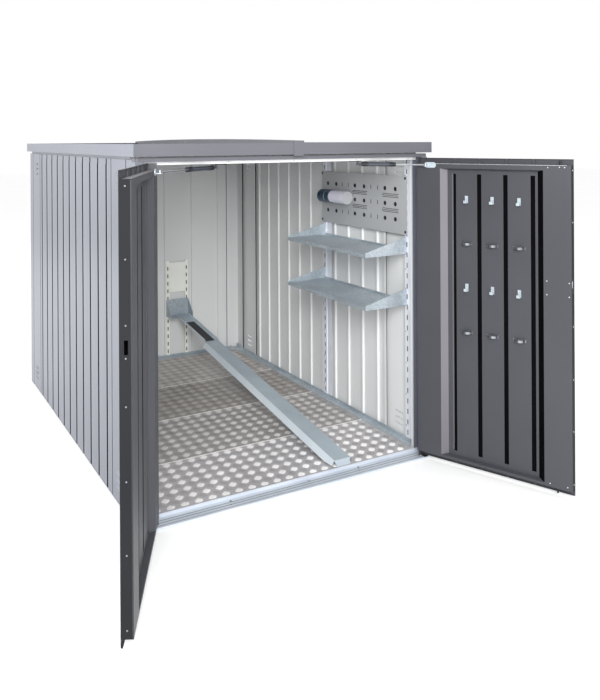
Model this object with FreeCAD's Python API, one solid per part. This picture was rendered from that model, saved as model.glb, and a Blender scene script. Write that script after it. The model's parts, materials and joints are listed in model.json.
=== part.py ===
import FreeCAD, Part
import math
import os
from FreeCAD import Vector

# Bicycle locker: a steel cabin with two front doors, a raised wheel ramp, two shelves and a tool panel.
# Millimetres. X runs to the right as seen from the front, Y to the rear, Z up.
# The origin is the centre of the base on the ground. The doors are drawn open, as they stand at rest.

# Cabin
WIDTH = 1414.0
DEPTH = 1980.0
SHEET = 1.2
SHEET_FOOT = 4.0
CORNER_POST_FRONT = 113.0
CORNER_POST_REAR = 83.0
VENT_PANEL = 195.0
JOINT_GAP = 6.0
JOINT_DEPTH = 12.0
JOINT_TAIL = 16.0
GROOVE_PITCH = 127.0
GROOVE_FIRST = 67.0
GROOVE_TOP = 14.0
GROOVE_FLOOR = 8.0
GROOVE_DEPTH = 9.0
REAR_GROOVE_FIRST = 163.0
REAR_GROOVE_PITCH = 195.0
REAR_GROOVE_MARGIN = 40.0
VENT_SLOT = 55.0
VENT_SLOT_TALL = 6.0
VENT_HOOD = 7.0
VENT_PITCH = 29.0
VENT_LOW = 70.0
VENT_DROP = 118.0

# Front frame
POST_FACE = 31.0
JAMB_DEPTH = 62.0
STOP_SETBACK = 39.0
STOP_LIP = 22.0
JAMB_LIP = 16.0
POST_CREASE = 47.0
LINTEL_HEIGHT = 16.0
LINTEL_DROP = 13.0
LINTEL_CORNER = 10.0
LINER_DEPTH = 41.0
EAVES_HEIGHT = 12.0
EAVES_RECESS = 8.0
EAVES_FLANGE = 47.0

# Roof
ROOF_TOP = 1450.0
TRIM_HEIGHT = 48.0
ROOF_SIDE = 13.0
ROOF_FRONT = 18.0
ROOF_REAR = 37.0
TRIM_RETURN = 30.0
TRIM_FRONT_RETURN = 78.0
TRIM_REAR_RETURN = 62.0
CAMBER = 10.0
RIDGE_WIDTH = 50.0
RIDGE_RISE = 25.0
RIDGE_DROP = 54.0
BEAM_WIDTH = 60.0
BEAM_HEIGHT = 28.0

# Floor
RAIL_LEDGE = 22.3
RAIL_UPSTAND = 34.0
RAIL_REACH = 44.0
RAIL_SHEET = 2.0
PLATE_TOP = 20.0
PLATE_SHEET = 3.0
PLATE_GAP = 1.0
PLATE_SEAMS = (450.0, 929.0, 1408.0)
SILL_FRONT = 38.0
SILL_STEP = 9.0
SILL_RISER = 38.0
SILL_TOP = 22.0
SILL_LIP = 10.0
SILL_SHEET = 2.0
SILL_SIDE_GAP = 2.0

# Doors, in a frame of their own: reach is measured from the hinge pin to the free edge,
# depth from the pin into the cabin
PIN_TO_JAMB = 6.0
PIN_SETBACK = -8.0
DOOR_FACE = 6.0
DOOR_THICKNESS = 38.0
DOOR_HEEL = 3.0
DOOR_BOTTOM = 14.0
DOOR_TO_TRIM = 24.0
DOOR_TO_LINTEL = 3.0
DOOR_MEETING_GAP = 3.0
OPEN_RIGHT = 113.9
OPEN_LEFT = 116.5
PAN_DEPTH = 22.0
PAN_NEAR = 108.0
PAN_FREE_MARGIN = 110.5
PAN_FOOT_MARGIN = 36.0
PAN_HEAD_MARGIN = 46.0
PAN_SLOPE_NEAR = 26.0
PAN_SLOPE_FREE = 28.0
PAN_SLOPE = 6.0
PAN_GROOVE_FIRST = 164.5
PAN_GROOVE_PITCH = 115.2
PAN_GROOVE_WIDTH = 19.0
PAN_GROOVE_DEPTH = 8.0
PAN_GROOVE_SIDE = 3.0
PAN_GROOVE_MARGIN = 18.0
SKIN_GROOVE_DEPTH = 5.0
EDGE_SHORT = 25.0
HOOK_DROPS = (182.0, 570.0)
RING_DROPS = (377.0, 767.0)

# Hinges and struts
HINGE_TO_FOOT = 133.0
HINGE_TO_TOP = 126.0
HINGE_TALL = 44.0
HINGE_GAP = 0.5
HINGE_PIN = 8.0
HINGE_BORE = 8.1
KNUCKLE = 11.0
LEAF_SHEET = 1.6
LEAF_WIDTH = 24.0
STUD_REACH = 45.0
STUD_STANDOFF = 15.0
STUD_DROP = 31.0
STUD = 6.0
EYE_BORE = 6.1
EYE = 14.0
EYE_TALL = 8.0
STRUT_ANCHOR_X = 350.0
STRUT_ANCHOR_Y = 51.0
STRUT_ANCHOR_DROP = 15.0
STRUT_TUBE = 18.0
STRUT_ROD = 8.0
STRUT_TUBE_LENGTH = 172.0
STRUT_END = 18.0
STRUT_OVERLAP = 85.0
ANCHOR_PLATE = 3.5
ANCHOR_GAP = 0.3

# Lock in the right door
LOCK_BACKSET = 53.5
LOCK_HEIGHT = 851.0
LOCK_THROW = 14.0
CAM_PIN = 5.0
CAM_CLEARANCE = 0.8
ROD = 8.0
ROD_DEPTH = 28.0
ROD_END_GAP = 2.0
BOLT_RISE = 20.0
BOLT_TALL = 26.0
BOLT_THICK = 8.0
BOLT_DEPTH = 26.0
KEEPER_TALL = 42.0
LATCH_BELOW = 38.0
LATCH_ABOVE = 32.0
SPINDLE = 8.0
HANDLE_LENGTH = 92.0
HANDLE_WIDTH = 24.0
PLUG = 12.0
LOCK_SCREW_REACH = 44.0
LOCK_SCREW_RISE = 28.0

# Fittings on the right wall
UPRIGHT_FACES = (124.0, 839.0)
UPRIGHT_WIDTH = 34.0
UPRIGHT_FLANGE = 45.0
UPRIGHT_OUT = 19.0
UPRIGHT_SHEET = 1.5
SLOT_PITCH = 50.0
SLOT_TALL = 24.0
SLOT_WIDE = 7.0
SHELF_DROPS = (73.0, 319.0)
SHELF_DEPTH = 243.0
SHELF_SHEET = 1.5
SHELF_LIP = 17.0
BRACKET_RISE = 64.0
TOOL_PANEL_DROP = 104.0
TOOL_PANEL_TALL = 283.0
TOOL_PANEL_OVERHANG = 17.0
TOOL_PANEL_STAND = 4.0
TOOL_HOLE = 18.0
TOOL_HOLE_FIRST = 205.0
TOOL_ROWS = 3
TOOL_ROW_PITCH = 74.0
TOOL_PAIR_PITCH = 255.0
TOOL_PAIR_GAP = 81.0
TUBE_WIDTH = 72.0
TUBE_FRONT = 558.0
TUBE_LENGTH = 135.0
TUBE_CAP_LENGTH = 105.0
TUBE_BAND = 6.0
TUBE_BAND_START = 40.0

# Wheel ramp and its rear mounting
RAMP_X = 262.5
RAMP_TOP = 86.0
RAMP_SIDE_RUN = 37.0
RAMP_SIDE_DROP = 22.0
RAMP_SHEET = 2.0
RAMP_REAR_HEIGHT = 303.0
RAMP_FRONT_Y = 55.0
RAMP_REAR_GAP = 65.0
RAMP_SIDES_END = 1400.0
RAMP_RIM = 8.0
TONGUE_RUN = 12.0
TONGUE_FOOT = 60.0
PAD_LENGTH = 320.0
PAD_FROM_TOP = 145.0
PAD_WIDTH = 60.0
PAD_SIDE = 10.0
REAR_MOUNT_X = 243.0
REAR_RAIL_SPREAD = 133.0
REAR_RAIL_WIDTH = 24.0
REAR_RAIL_TOP = 660.0
RAMP_SEAT_DEPTH = 84.0
RAMP_BRACKET_TALL = 108.0
RAMP_BRACKET_TOE = 26.0
WHEEL_PLATE_DROP = 10.0
WHEEL_PLATE_TALL = 198.0

# Worked out from the sizes above
SIDE = WIDTH / 2
FRONT = -DEPTH / 2
BACK = DEPTH / 2
JAMB = SIDE - POST_FACE
TRIM_BOTTOM = ROOF_TOP - TRIM_HEIGHT
EAVES_BOTTOM = TRIM_BOTTOM - EAVES_HEIGHT
DOOR_TOP = TRIM_BOTTOM - DOOR_TO_TRIM
LINTEL_BOTTOM = DOOR_TOP + DOOR_TO_LINTEL
LINER_BOTTOM = LINTEL_BOTTOM - LINTEL_DROP
STOP = FRONT + STOP_SETBACK
RIB_CREST = SHEET + GROOVE_DEPTH
VENT_FRONT = CORNER_POST_FRONT + VENT_PANEL
VENT_REAR = DEPTH - CORNER_POST_REAR - VENT_PANEL
PIN_Y = FRONT + PIN_SETBACK
PIN_REACH = JAMB - PIN_TO_JAMB
DOOR_REACH = PIN_REACH - DOOR_MEETING_GAP / 2
DOOR_BACK = DOOR_FACE + DOOR_THICKNESS
PAN_FLOOR = DOOR_BACK - PAN_DEPTH
PAN_FAR = DOOR_REACH - PAN_FREE_MARGIN
PAN_LAST_GROOVE = PAN_FAR - PAN_SLOPE_FREE - PAN_GROOVE_WIDTH / 2
PAN_GROOVES = 1 + int((PAN_LAST_GROOVE - PAN_GROOVE_FIRST) / PAN_GROOVE_PITCH)
PAN_LOW = DOOR_BOTTOM + PAN_FOOT_MARGIN
PAN_HIGH = DOOR_TOP - PAN_HEAD_MARGIN
HINGE_HEIGHTS = (DOOR_BOTTOM + HINGE_TO_FOOT, DOOR_TOP - HINGE_TO_TOP)
LOCK_REACH = DOOR_REACH - LOCK_BACKSET
BOLT_HEIGHT = LOCK_HEIGHT + BOLT_RISE
STUD_HEIGHT = DOOR_TOP - STUD_DROP
STRUT_ANCHOR_HEIGHT = LINER_BOTTOM - STRUT_ANCHOR_DROP
STUD_DEPTH = DOOR_BACK + STUD_STANDOFF
CAM_RADIUS = LOCK_THROW / 2 / math.sin(math.radians(45))
RAIL_FACE = SIDE - RIB_CREST - 3.0
UPRIGHT_FACE = SIDE - UPRIGHT_OUT
TOOL_PANEL_HIGH = EAVES_BOTTOM - TOOL_PANEL_DROP
TOOL_PANEL_LOW = TOOL_PANEL_HIGH - TOOL_PANEL_TALL
TOOL_PANEL_MIDDLE = (TOOL_PANEL_LOW + TOOL_PANEL_HIGH) / 2 + 2.0
RAMP_REAR_Y = DEPTH - RAMP_REAR_GAP
ROOF_ARC = (FRONT - ROOF_FRONT + SHEET + 1, BACK + ROOF_REAR - SHEET - 1)

NODES = {}


def box(x0, x1, y0, y1, z0, z1):
    """A box between two corners."""
    return Part.makeBox(x1 - x0, y1 - y0, z1 - z0, Vector(x0, y0, z0))


def rod_between(start, end, radius):
    """A round bar from one point to another."""
    run = end.sub(start)
    return Part.makeCylinder(radius, run.Length, start, run)


def strip_outline(points, thickness):
    """The closed outline of a bent strip: the given face, and its back to the right of travel."""
    back = []
    last = len(points) - 1
    for index, point in enumerate(points):
        sides = []
        if index > 0:
            sides.append((points[index - 1], point))
        if index < last:
            sides.append((point, points[index + 1]))
        normals = []
        for start, end in sides:
            length = math.hypot(end[0] - start[0], end[1] - start[1])
            normals.append(((end[1] - start[1]) / length, (start[0] - end[0]) / length))
        total = [sum(n[0] for n in normals), sum(n[1] for n in normals)]
        if len(normals) == 2:
            scale = thickness / (1 + normals[0][0] * normals[1][0] + normals[0][1] * normals[1][1])
        else:
            scale = thickness
        back.append((point[0] + total[0] * scale, point[1] + total[1] * scale))
    return list(points) + back[::-1]


def upright_prism(outline, low, high):
    """A plan outline in X and Y, drawn up from low to high."""
    corners = [Vector(x, y, low) for x, y in outline]
    return Part.Face(Part.makePolygon(corners + corners[:1])).extrude(Vector(0, 0, high - low))


def cross_prism(outline, left, right):
    """An end view outline in Y and Z, drawn across from left to right."""
    corners = [Vector(left, y, z) for y, z in outline]
    return Part.Face(Part.makePolygon(corners + corners[:1])).extrude(Vector(right - left, 0, 0))


def long_prism(outline, front, rear):
    """A front view outline in X and Z, drawn back from front to rear."""
    corners = [Vector(x, front, z) for x, z in outline]
    return Part.Face(Part.makePolygon(corners + corners[:1])).extrude(Vector(0, rear - front, 0))


def mirrored(shape):
    """The same piece on the other side of the cabin."""
    return shape.mirror(Vector(0, 0, 0), Vector(1, 0, 0))


def joined(shapes):
    """One solid from pieces that overlap or meet."""
    whole = shapes[0].multiFuse(shapes[1:]) if len(shapes) > 1 else shapes[0]
    return whole.removeSplitter()


def keep(name, *solids):
    """Files the solids of one named piece."""
    NODES[name] = solids[0] if len(solids) == 1 else Part.makeCompound(list(solids))


def grooves_between(start, stop, centres, depth):
    """Outline points of a flat face with pressed grooves: position along the wall, depth inward."""
    points = [(start, 0.0)]
    for centre in centres:
        points.append((centre - GROOVE_TOP / 2, 0.0))
        points.append((centre - GROOVE_FLOOR / 2, depth))
        points.append((centre + GROOVE_FLOOR / 2, depth))
        points.append((centre + GROOVE_TOP / 2, 0.0))
    points.append((stop, 0.0))
    return points


def wall_strip(start, stop, centres):
    """One wall sheet from joint to joint: a hidden tail, the grooved face and a turned-in edge."""
    near = start + JOINT_GAP / 2
    far = stop - JOINT_GAP / 2
    face = grooves_between(near, far, centres, GROOVE_DEPTH)
    return [(start - JOINT_TAIL, JOINT_DEPTH), (near, JOINT_DEPTH)] + face + [(far, JOINT_DEPTH)]


def side_sheet(start, stop, centres):
    """A sheet of the left wall between two distances from the front."""
    plan = [(-SIDE + depth, FRONT + along) for along, depth in wall_strip(start, stop, centres)]
    sheet = upright_prism(strip_outline(plan, SHEET), SHEET_FOOT, EAVES_BOTTOM)
    hem = box(-SIDE, -SIDE + JOINT_DEPTH, FRONT + start + JOINT_GAP / 2, FRONT + stop - JOINT_GAP / 2,
              EAVES_BOTTOM - SHEET, EAVES_BOTTOM)
    return joined([sheet, hem])


def walls():
    """Side and rear walls: plain vent sheets, grooved sheets and folded corner posts."""
    count = int((VENT_REAR - VENT_FRONT - GROOVE_FIRST) // GROOVE_PITCH) + 1
    centres = [VENT_FRONT + GROOVE_FIRST + GROOVE_PITCH * k for k in range(count)]
    side = side_sheet(VENT_FRONT, VENT_REAR, centres)
    keep("side_wall_left", side)
    keep("side_wall_right", mirrored(side))
    vents = []
    for start, stop in ((CORNER_POST_FRONT, VENT_FRONT), (VENT_REAR, DEPTH - CORNER_POST_REAR)):
        vents.append(louvred(side_sheet(start, stop, []), FRONT + (start + stop) / 2))
    keep("vent_panels", *vents, *[mirrored(vent) for vent in vents])

    post_start = DEPTH - CORNER_POST_REAR
    near = FRONT + post_start + JOINT_GAP / 2
    turn = -SIDE + CORNER_POST_REAR
    corner = [(-SIDE + JOINT_DEPTH, FRONT + post_start - JOINT_TAIL), (-SIDE + JOINT_DEPTH, near),
              (-SIDE, near), (-SIDE, BACK), (turn, BACK), (turn, BACK - JOINT_DEPTH)]
    rear_post = upright_prism(strip_outline(corner, SHEET), 0, EAVES_BOTTOM)
    keep("rear_posts", rear_post, mirrored(rear_post))

    half = SIDE - CORNER_POST_REAR
    edge = half - JOINT_GAP
    count = int((half - REAR_GROOVE_FIRST - REAR_GROOVE_MARGIN) // REAR_GROOVE_PITCH) + 1
    right = [REAR_GROOVE_FIRST + REAR_GROOVE_PITCH * k for k in range(count)]
    centres = [-x for x in reversed(right)] + right
    rear = [(-half - JOINT_TAIL, JOINT_DEPTH), (-edge, JOINT_DEPTH)]
    rear += grooves_between(-edge, edge, centres, GROOVE_DEPTH)
    rear += [(edge, JOINT_DEPTH), (half + JOINT_TAIL, JOINT_DEPTH)]
    plan = [(along, BACK - depth) for along, depth in rear]
    sheet = upright_prism(strip_outline(plan, SHEET), SHEET_FOOT, EAVES_BOTTOM)
    hem = box(-edge, edge, BACK - JOINT_DEPTH, BACK, EAVES_BOTTOM - SHEET, EAVES_BOTTOM)
    keep("rear_wall", joined([sheet, hem]))


def louvred(sheet, centre_y):
    """Cuts three louvred air slots near the top and near the foot of a vent sheet."""
    front = centre_y - VENT_SLOT / 2
    rear = centre_y + VENT_SLOT / 2
    half = VENT_SLOT_TALL / 2
    for lowest in (VENT_LOW, EAVES_BOTTOM - VENT_DROP):
        for index in range(3):
            z = lowest + VENT_PITCH * index
            sheet = sheet.cut(box(-SIDE - 5, -SIDE + 5, front, rear, z - half, z + half))
            lid = [(-SIDE, z + half + 5), (-SIDE - VENT_HOOD, z - half),
                   (-SIDE - VENT_HOOD + SHEET, z - half), (-SIDE + SHEET, z + half + 5)]
            sheet = sheet.fuse(long_prism(lid, front, rear))
    return sheet.removeSplitter()


def front_frame():
    """Front posts with their jambs, the lintel bar and its inner liner."""
    fold = FRONT + CORNER_POST_FRONT - JOINT_GAP / 2
    crease = FRONT + POST_CREASE
    plan = [(-JAMB + JAMB_LIP, FRONT + JAMB_DEPTH), (-JAMB, FRONT + JAMB_DEPTH), (-JAMB, FRONT),
            (-SIDE, FRONT), (-SIDE, crease - 4), (-SIDE + 4, crease - 2), (-SIDE + 4, crease + 2),
            (-SIDE, crease + 4), (-SIDE, fold), (-SIDE + JOINT_DEPTH, fold)]
    post = upright_prism(strip_outline(plan, SHEET), 0, EAVES_BOTTOM)
    stop = box(-JAMB - SHEET, -JAMB + STOP_LIP, STOP, STOP + SHEET, SILL_TOP, LINER_BOTTOM)
    post = post.cut(box(-SIDE - 1, -JAMB + 1, FRONT - 1, STOP, LINTEL_BOTTOM, EAVES_BOTTOM + 1))
    post = post.cut(box(-JAMB, -JAMB + JAMB_LIP + 1, STOP, FRONT + JAMB_DEPTH + 3, LINER_BOTTOM,
                        EAVES_BOTTOM + 1))
    post = joined([post, stop])
    keep("front_post_left", post)
    keep("front_post_right", mirrored(post))

    top = LINTEL_BOTTOM + LINTEL_HEIGHT
    bar = box(-SIDE, SIDE, FRONT, STOP, LINTEL_BOTTOM, top)
    corners = [e for e in bar.Edges if abs(e.BoundBox.ZLength - LINTEL_HEIGHT) < 0.01
               and e.BoundBox.YMax < FRONT + 0.01]
    bar = bar.makeFillet(LINTEL_CORNER, corners)
    room = box(-SIDE + SHEET + LINTEL_CORNER, SIDE - SHEET - LINTEL_CORNER, FRONT + SHEET, STOP + 1,
               LINTEL_BOTTOM + SHEET, top - SHEET)
    bolt_x = PIN_REACH - upper_rod_reach()
    bolt_hole = Part.makeCylinder(ROD / 2 + 3, 4, Vector(bolt_x, PIN_Y + ROD_DEPTH, LINTEL_BOTTOM - 1))
    keep("front_lintel", bar.cut(room).cut(bolt_hole))

    rear = STOP + LINER_DEPTH
    liner = [(rear, LINER_BOTTOM), (STOP, LINER_BOTTOM), (STOP, TRIM_BOTTOM), (rear, TRIM_BOTTOM)]
    edge = JAMB - SILL_SIDE_GAP
    keep("lintel_liner", cross_prism(strip_outline(liner, SHEET), -edge, edge))
    anchors = []
    for side in (-1, 1):
        middle = side * (STRUT_ANCHOR_X - 14)
        anchor_y = FRONT + STRUT_ANCHOR_Y
        plate = box(middle - 34, middle + 34, anchor_y - 9, anchor_y + 9, LINER_BOTTOM - ANCHOR_PLATE,
                    LINER_BOTTOM)
        anchors.append(plate.makeFillet(8, [e for e in plate.Edges if e.BoundBox.ZLength > 3]))
    keep("strut_anchors", *anchors)

    reach = -SIDE + EAVES_FLANGE
    outer = -SIDE + EAVES_RECESS
    eaves = [(outer + JOINT_DEPTH, EAVES_BOTTOM), (outer, EAVES_BOTTOM), (outer, TRIM_BOTTOM),
             (reach, TRIM_BOTTOM)]
    rail = long_prism(strip_outline(eaves, SHEET), STOP + LINER_DEPTH, BACK - EAVES_RECESS)
    outer = BACK - EAVES_RECESS
    rear_eaves = [(BACK - EAVES_FLANGE, TRIM_BOTTOM), (outer, TRIM_BOTTOM), (outer, EAVES_BOTTOM),
                  (outer - JOINT_DEPTH, EAVES_BOTTOM)]
    rear = cross_prism(strip_outline(rear_eaves, SHEET), reach, -reach)
    keep("eaves_rails", rail, mirrored(rail), rear)


def roof():
    """Two cambered roof panels in a frame of folded trims, over a centre beam, under a ridge cover."""
    left = -SIDE - ROOF_SIDE
    front = FRONT - ROOF_FRONT
    rear = BACK + ROOF_REAR
    inner = left + SHEET
    side = [(left + TRIM_RETURN, TRIM_BOTTOM), (left, TRIM_BOTTOM), (left, ROOF_TOP)]
    trim = long_prism(strip_outline(side, SHEET), front, rear)
    for end in (front, rear - SHEET):
        trim = trim.cut(box(inner, 0, end - 1 + (end > 0), end + SHEET + (end > 0), TRIM_BOTTOM - 1,
                            ROOF_TOP))
    keep("roof_trim_sides", trim, mirrored(trim))
    face = [(front + TRIM_FRONT_RETURN, TRIM_BOTTOM), (front, TRIM_BOTTOM), (front, ROOF_TOP),
            (front + TRIM_RETURN, ROOF_TOP)]
    half = cross_prism(strip_outline(face, SHEET), inner, -1.0)
    half = half.cut(box(left, left + TRIM_RETURN, front + SHEET, FRONT + JAMB_DEPTH, TRIM_BOTTOM,
                        ROOF_TOP))
    keep("roof_trim_front", half, mirrored(half))
    back = [(rear - TRIM_RETURN, ROOF_TOP), (rear, ROOF_TOP), (rear, TRIM_BOTTOM),
            (rear - TRIM_REAR_RETURN, TRIM_BOTTOM)]
    behind = cross_prism(strip_outline(back, SHEET), inner, -inner)
    ends = box(left, left + TRIM_RETURN, BACK - JAMB_DEPTH, rear - SHEET, TRIM_BOTTOM, ROOF_TOP)
    keep("roof_trim_rear", behind.cut(ends).cut(mirrored(ends)))

    low = ROOF_TOP - TRIM_RETURN / 2
    y0 = front + SHEET + 1
    y1 = rear - SHEET - 1
    outer = inner + 0.5
    seam = -BEAM_WIDTH / 8
    beam_top = TRIM_BOTTOM + BEAM_HEIGHT + SHEET
    ledge = TRIM_BOTTOM + SHEET
    panel = joined([cambered(outer, seam, y0, y1, low, CAMBER, SHEET),
                    skirt(outer, outer + SHEET, y0, y1, low - SHEET / 2, CAMBER, ledge),
                    skirt(seam - SHEET, seam, y0 + TRIM_FRONT_RETURN, y1 - TRIM_REAR_RETURN,
                          low - SHEET / 2, CAMBER, beam_top)])
    keep("roof_panel_left", panel)
    keep("roof_panel_right", mirrored(panel))

    lift = low + RIDGE_RISE
    cover = cambered(-RIDGE_WIDTH / 2, RIDGE_WIDTH / 2, front - SHEET, rear + SHEET, lift, CAMBER, SHEET)
    legs = []
    for side in (-1, 1):
        edge = side * RIDGE_WIDTH / 2
        near, far = sorted((edge, edge - side * SHEET))
        legs.append(cambered(near, far, y0, y1, lift - SHEET / 2, CAMBER, RIDGE_RISE - SHEET / 2))
    cover = joined([cover] + legs)
    for y in (front, rear):
        cover = cover.cut(box(-RIDGE_WIDTH, RIDGE_WIDTH, y - TRIM_RETURN - 0.3, y + TRIM_RETURN + 0.3,
                              TRIM_BOTTOM, ROOF_TOP))
    ends = [box(-RIDGE_WIDTH / 2, RIDGE_WIDTH / 2, y, y + SHEET, ROOF_TOP - RIDGE_DROP, lift - SHEET / 2)
            for y in (front - SHEET, rear)]
    keep("ridge_cover", joined([cover] + ends))

    flange = BEAM_WIDTH / 2 + 14
    under = TRIM_BOTTOM
    top = under + BEAM_HEIGHT
    hat = [(-flange, under), (-BEAM_WIDTH / 2, under), (-BEAM_WIDTH / 2, top), (BEAM_WIDTH / 2, top),
           (BEAM_WIDTH / 2, under), (flange, under)]
    beam = long_prism(strip_outline(hat, -SHEET), front + TRIM_FRONT_RETURN + 1,
                      rear - TRIM_REAR_RETURN - 1)
    keep("roof_beam", beam)


def skirt(left, right, front, rear, low, rise, foot):
    """An upright web under an arched sheet, from a level foot up to the same arch."""
    middle = (ROOF_ARC[0] + ROOF_ARC[1]) / 2
    full = Part.Arc(Vector(left, ROOF_ARC[0], low), Vector(left, middle, low + rise),
                    Vector(left, ROOF_ARC[1], low))
    corners = [Vector(left, ROOF_ARC[1], low), Vector(left, ROOF_ARC[1], foot),
               Vector(left, ROOF_ARC[0], foot), Vector(left, ROOF_ARC[0], low)]
    wire = Part.Wire([full.toShape()] + Part.makePolygon(corners).Edges)
    web = Part.Face(wire).extrude(Vector(right - left, 0, 0))
    return web.common(box(left - 1, right + 1, front, rear, foot - 1, low + rise + 1))


def cambered(left, right, front, rear, low, rise, thickness):
    """A sheet arched from front to rear: its ends at one height, its middle higher by the rise."""
    middle = (front + rear) / 2
    upper = Part.Arc(Vector(left, front, low), Vector(left, middle, low + rise), Vector(left, rear, low))
    drop = Vector(0, 0, -thickness)
    lower = Part.Arc(Vector(left, rear, low).add(drop), Vector(left, middle, low + rise).add(drop),
                     Vector(left, front, low).add(drop))
    ends = [Part.LineSegment(upper.EndPoint, lower.StartPoint),
            Part.LineSegment(lower.EndPoint, upper.StartPoint)]
    wire = Part.Wire([upper.toShape(), ends[0].toShape(), lower.toShape(), ends[1].toShape()])
    return Part.Face(wire).extrude(Vector(right - left, 0, 0))


def base():
    """Base rails with a ledge over the floor, corner brackets, four floor plates and the sill."""
    reach = RAIL_FACE - RAIL_REACH
    low = RAIL_LEDGE - RAIL_SHEET
    parts = [(reach, RAIL_FACE, 0, RAIL_SHEET), (RAIL_FACE - RAIL_SHEET, RAIL_FACE, 0, RAIL_UPSTAND),
             (reach, RAIL_FACE, low, RAIL_LEDGE)]
    start = FRONT + JAMB_DEPTH + 2
    stop = BACK - (SIDE - RAIL_FACE)
    rail = joined([box(-x1, -x0, start, stop, z0, z1) for x0, x1, z0, z1 in parts])
    edge = reach - 0.5
    back = stop - RAIL_FACE
    across = [box(-edge, edge, y0 + back, y1 + back, z0, z1) for y0, y1, z0, z1 in parts]
    keep("base_rails", rail, mirrored(rail), joined(across))

    brackets = []
    for side in (-1, 1):
        x0, x1 = sorted((side * (edge - 40), side * (RAIL_FACE - RAIL_SHEET - 0.5)))
        plate = box(x0, x1, stop - RAIL_REACH - 30, stop - RAIL_SHEET - 0.5, RAIL_LEDGE, RAIL_LEDGE + 3)
        wx0, wx1 = sorted((side * (RAIL_FACE - RAIL_SHEET - 3.5), side * (RAIL_FACE - RAIL_SHEET - 0.5)))
        web = box(wx0, wx1, stop - RAIL_REACH - 30, stop - RAIL_SHEET - 0.5, RAIL_LEDGE,
                  RAIL_UPSTAND + 14)
        brackets.append(joined([plate, web]))
    keep("corner_brackets", *brackets)

    seams = [SILL_RISER + SILL_SHEET + 1] + list(PLATE_SEAMS) + [stop - FRONT - 4]
    half = RAIL_FACE - RAIL_SHEET - 2
    for index in range(len(seams) - 1):
        y0 = FRONT + seams[index] + PLATE_GAP / 2
        y1 = FRONT + seams[index + 1] - PLATE_GAP / 2
        under = PLATE_TOP - PLATE_SHEET
        parts = [box(-half, half, y0, y1, under, PLATE_TOP)]
        ribs = 4
        spine = min(y1, stop - RAIL_REACH - 1)
        parts.append(box(-PLATE_SHEET / 2, PLATE_SHEET / 2, y0, spine, 0, under))
        inside = spine - y0 - PLATE_SHEET
        for rib in range(ribs):
            y = y0 + inside * rib / (ribs - 1)
            width = reach - 1
            parts.append(box(-width, width, y, y + PLATE_SHEET, 0, under))
        plate = joined(parts)
        if index == 0:
            for side in (-1, 1):
                x0, x1 = sorted((side * (JAMB - JAMB_LIP - 1), side * SIDE))
                plate = plate.cut(box(x0, x1, FRONT, FRONT + JAMB_DEPTH + 2, -1, PLATE_TOP + 1))
        keep("floor_plate_%d" % (index + 1), plate)

    edge = JAMB - SILL_SIDE_GAP
    front = FRONT - SILL_FRONT
    riser = FRONT + SILL_RISER
    steps = [(front, 0), (front, SILL_STEP - 2), (front + 3, SILL_STEP), (riser, SILL_STEP),
             (riser, SILL_TOP), (riser + SILL_LIP, SILL_TOP)]
    pieces = [cross_prism(strip_outline(steps, SILL_SHEET), -edge, edge)]
    for y in (front + 18, FRONT + 2, riser - 4):
        pieces.append(box(-edge, edge, y, y + SILL_SHEET, 0, SILL_STEP))
    sill = joined(pieces)
    bolt_x = PIN_REACH - lower_rod_reach()
    hole = Part.makeCylinder(ROD / 2 + 3, SILL_STEP + 2, Vector(bolt_x, PIN_Y + ROD_DEPTH, -1))
    keep("sill", sill.cut(hole))


def upper_rod_reach():
    """Reach of the upper lock rod: beside the spindle, in line with its cam pin."""
    return LOCK_REACH + CAM_RADIUS * 0.9


def lower_rod_reach():
    """Reach of the lower lock rod, on the other side of the spindle."""
    return LOCK_REACH - CAM_RADIUS * 0.9


def door_box(reach0, reach1, depth0, depth1, z0, z1):
    """A box in the right door's own frame, with the door closed."""
    return box(PIN_REACH - reach1, PIN_REACH - reach0, PIN_Y + depth0, PIN_Y + depth1, z0, z1)


def door_point(reach, depth, z):
    """A point in the right door's own frame, with the door closed."""
    return Vector(PIN_REACH - reach, PIN_Y + depth, z)


def opened(shape, side):
    """Turns a closed door's piece to the open rest place: side is 1 for the right door, -1 for the left."""
    turned = shape.copy() if side > 0 else mirrored(shape)
    angle = OPEN_RIGHT if side > 0 else -OPEN_LEFT
    turned.rotate(Vector(side * PIN_REACH, PIN_Y, 0), Vector(0, 0, 1), angle)
    return turned


def door_grooves():
    """Reach of each pressed groove of a door."""
    return [PAN_GROOVE_FIRST + PAN_GROOVE_PITCH * k for k in range(PAN_GROOVES)]


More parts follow.
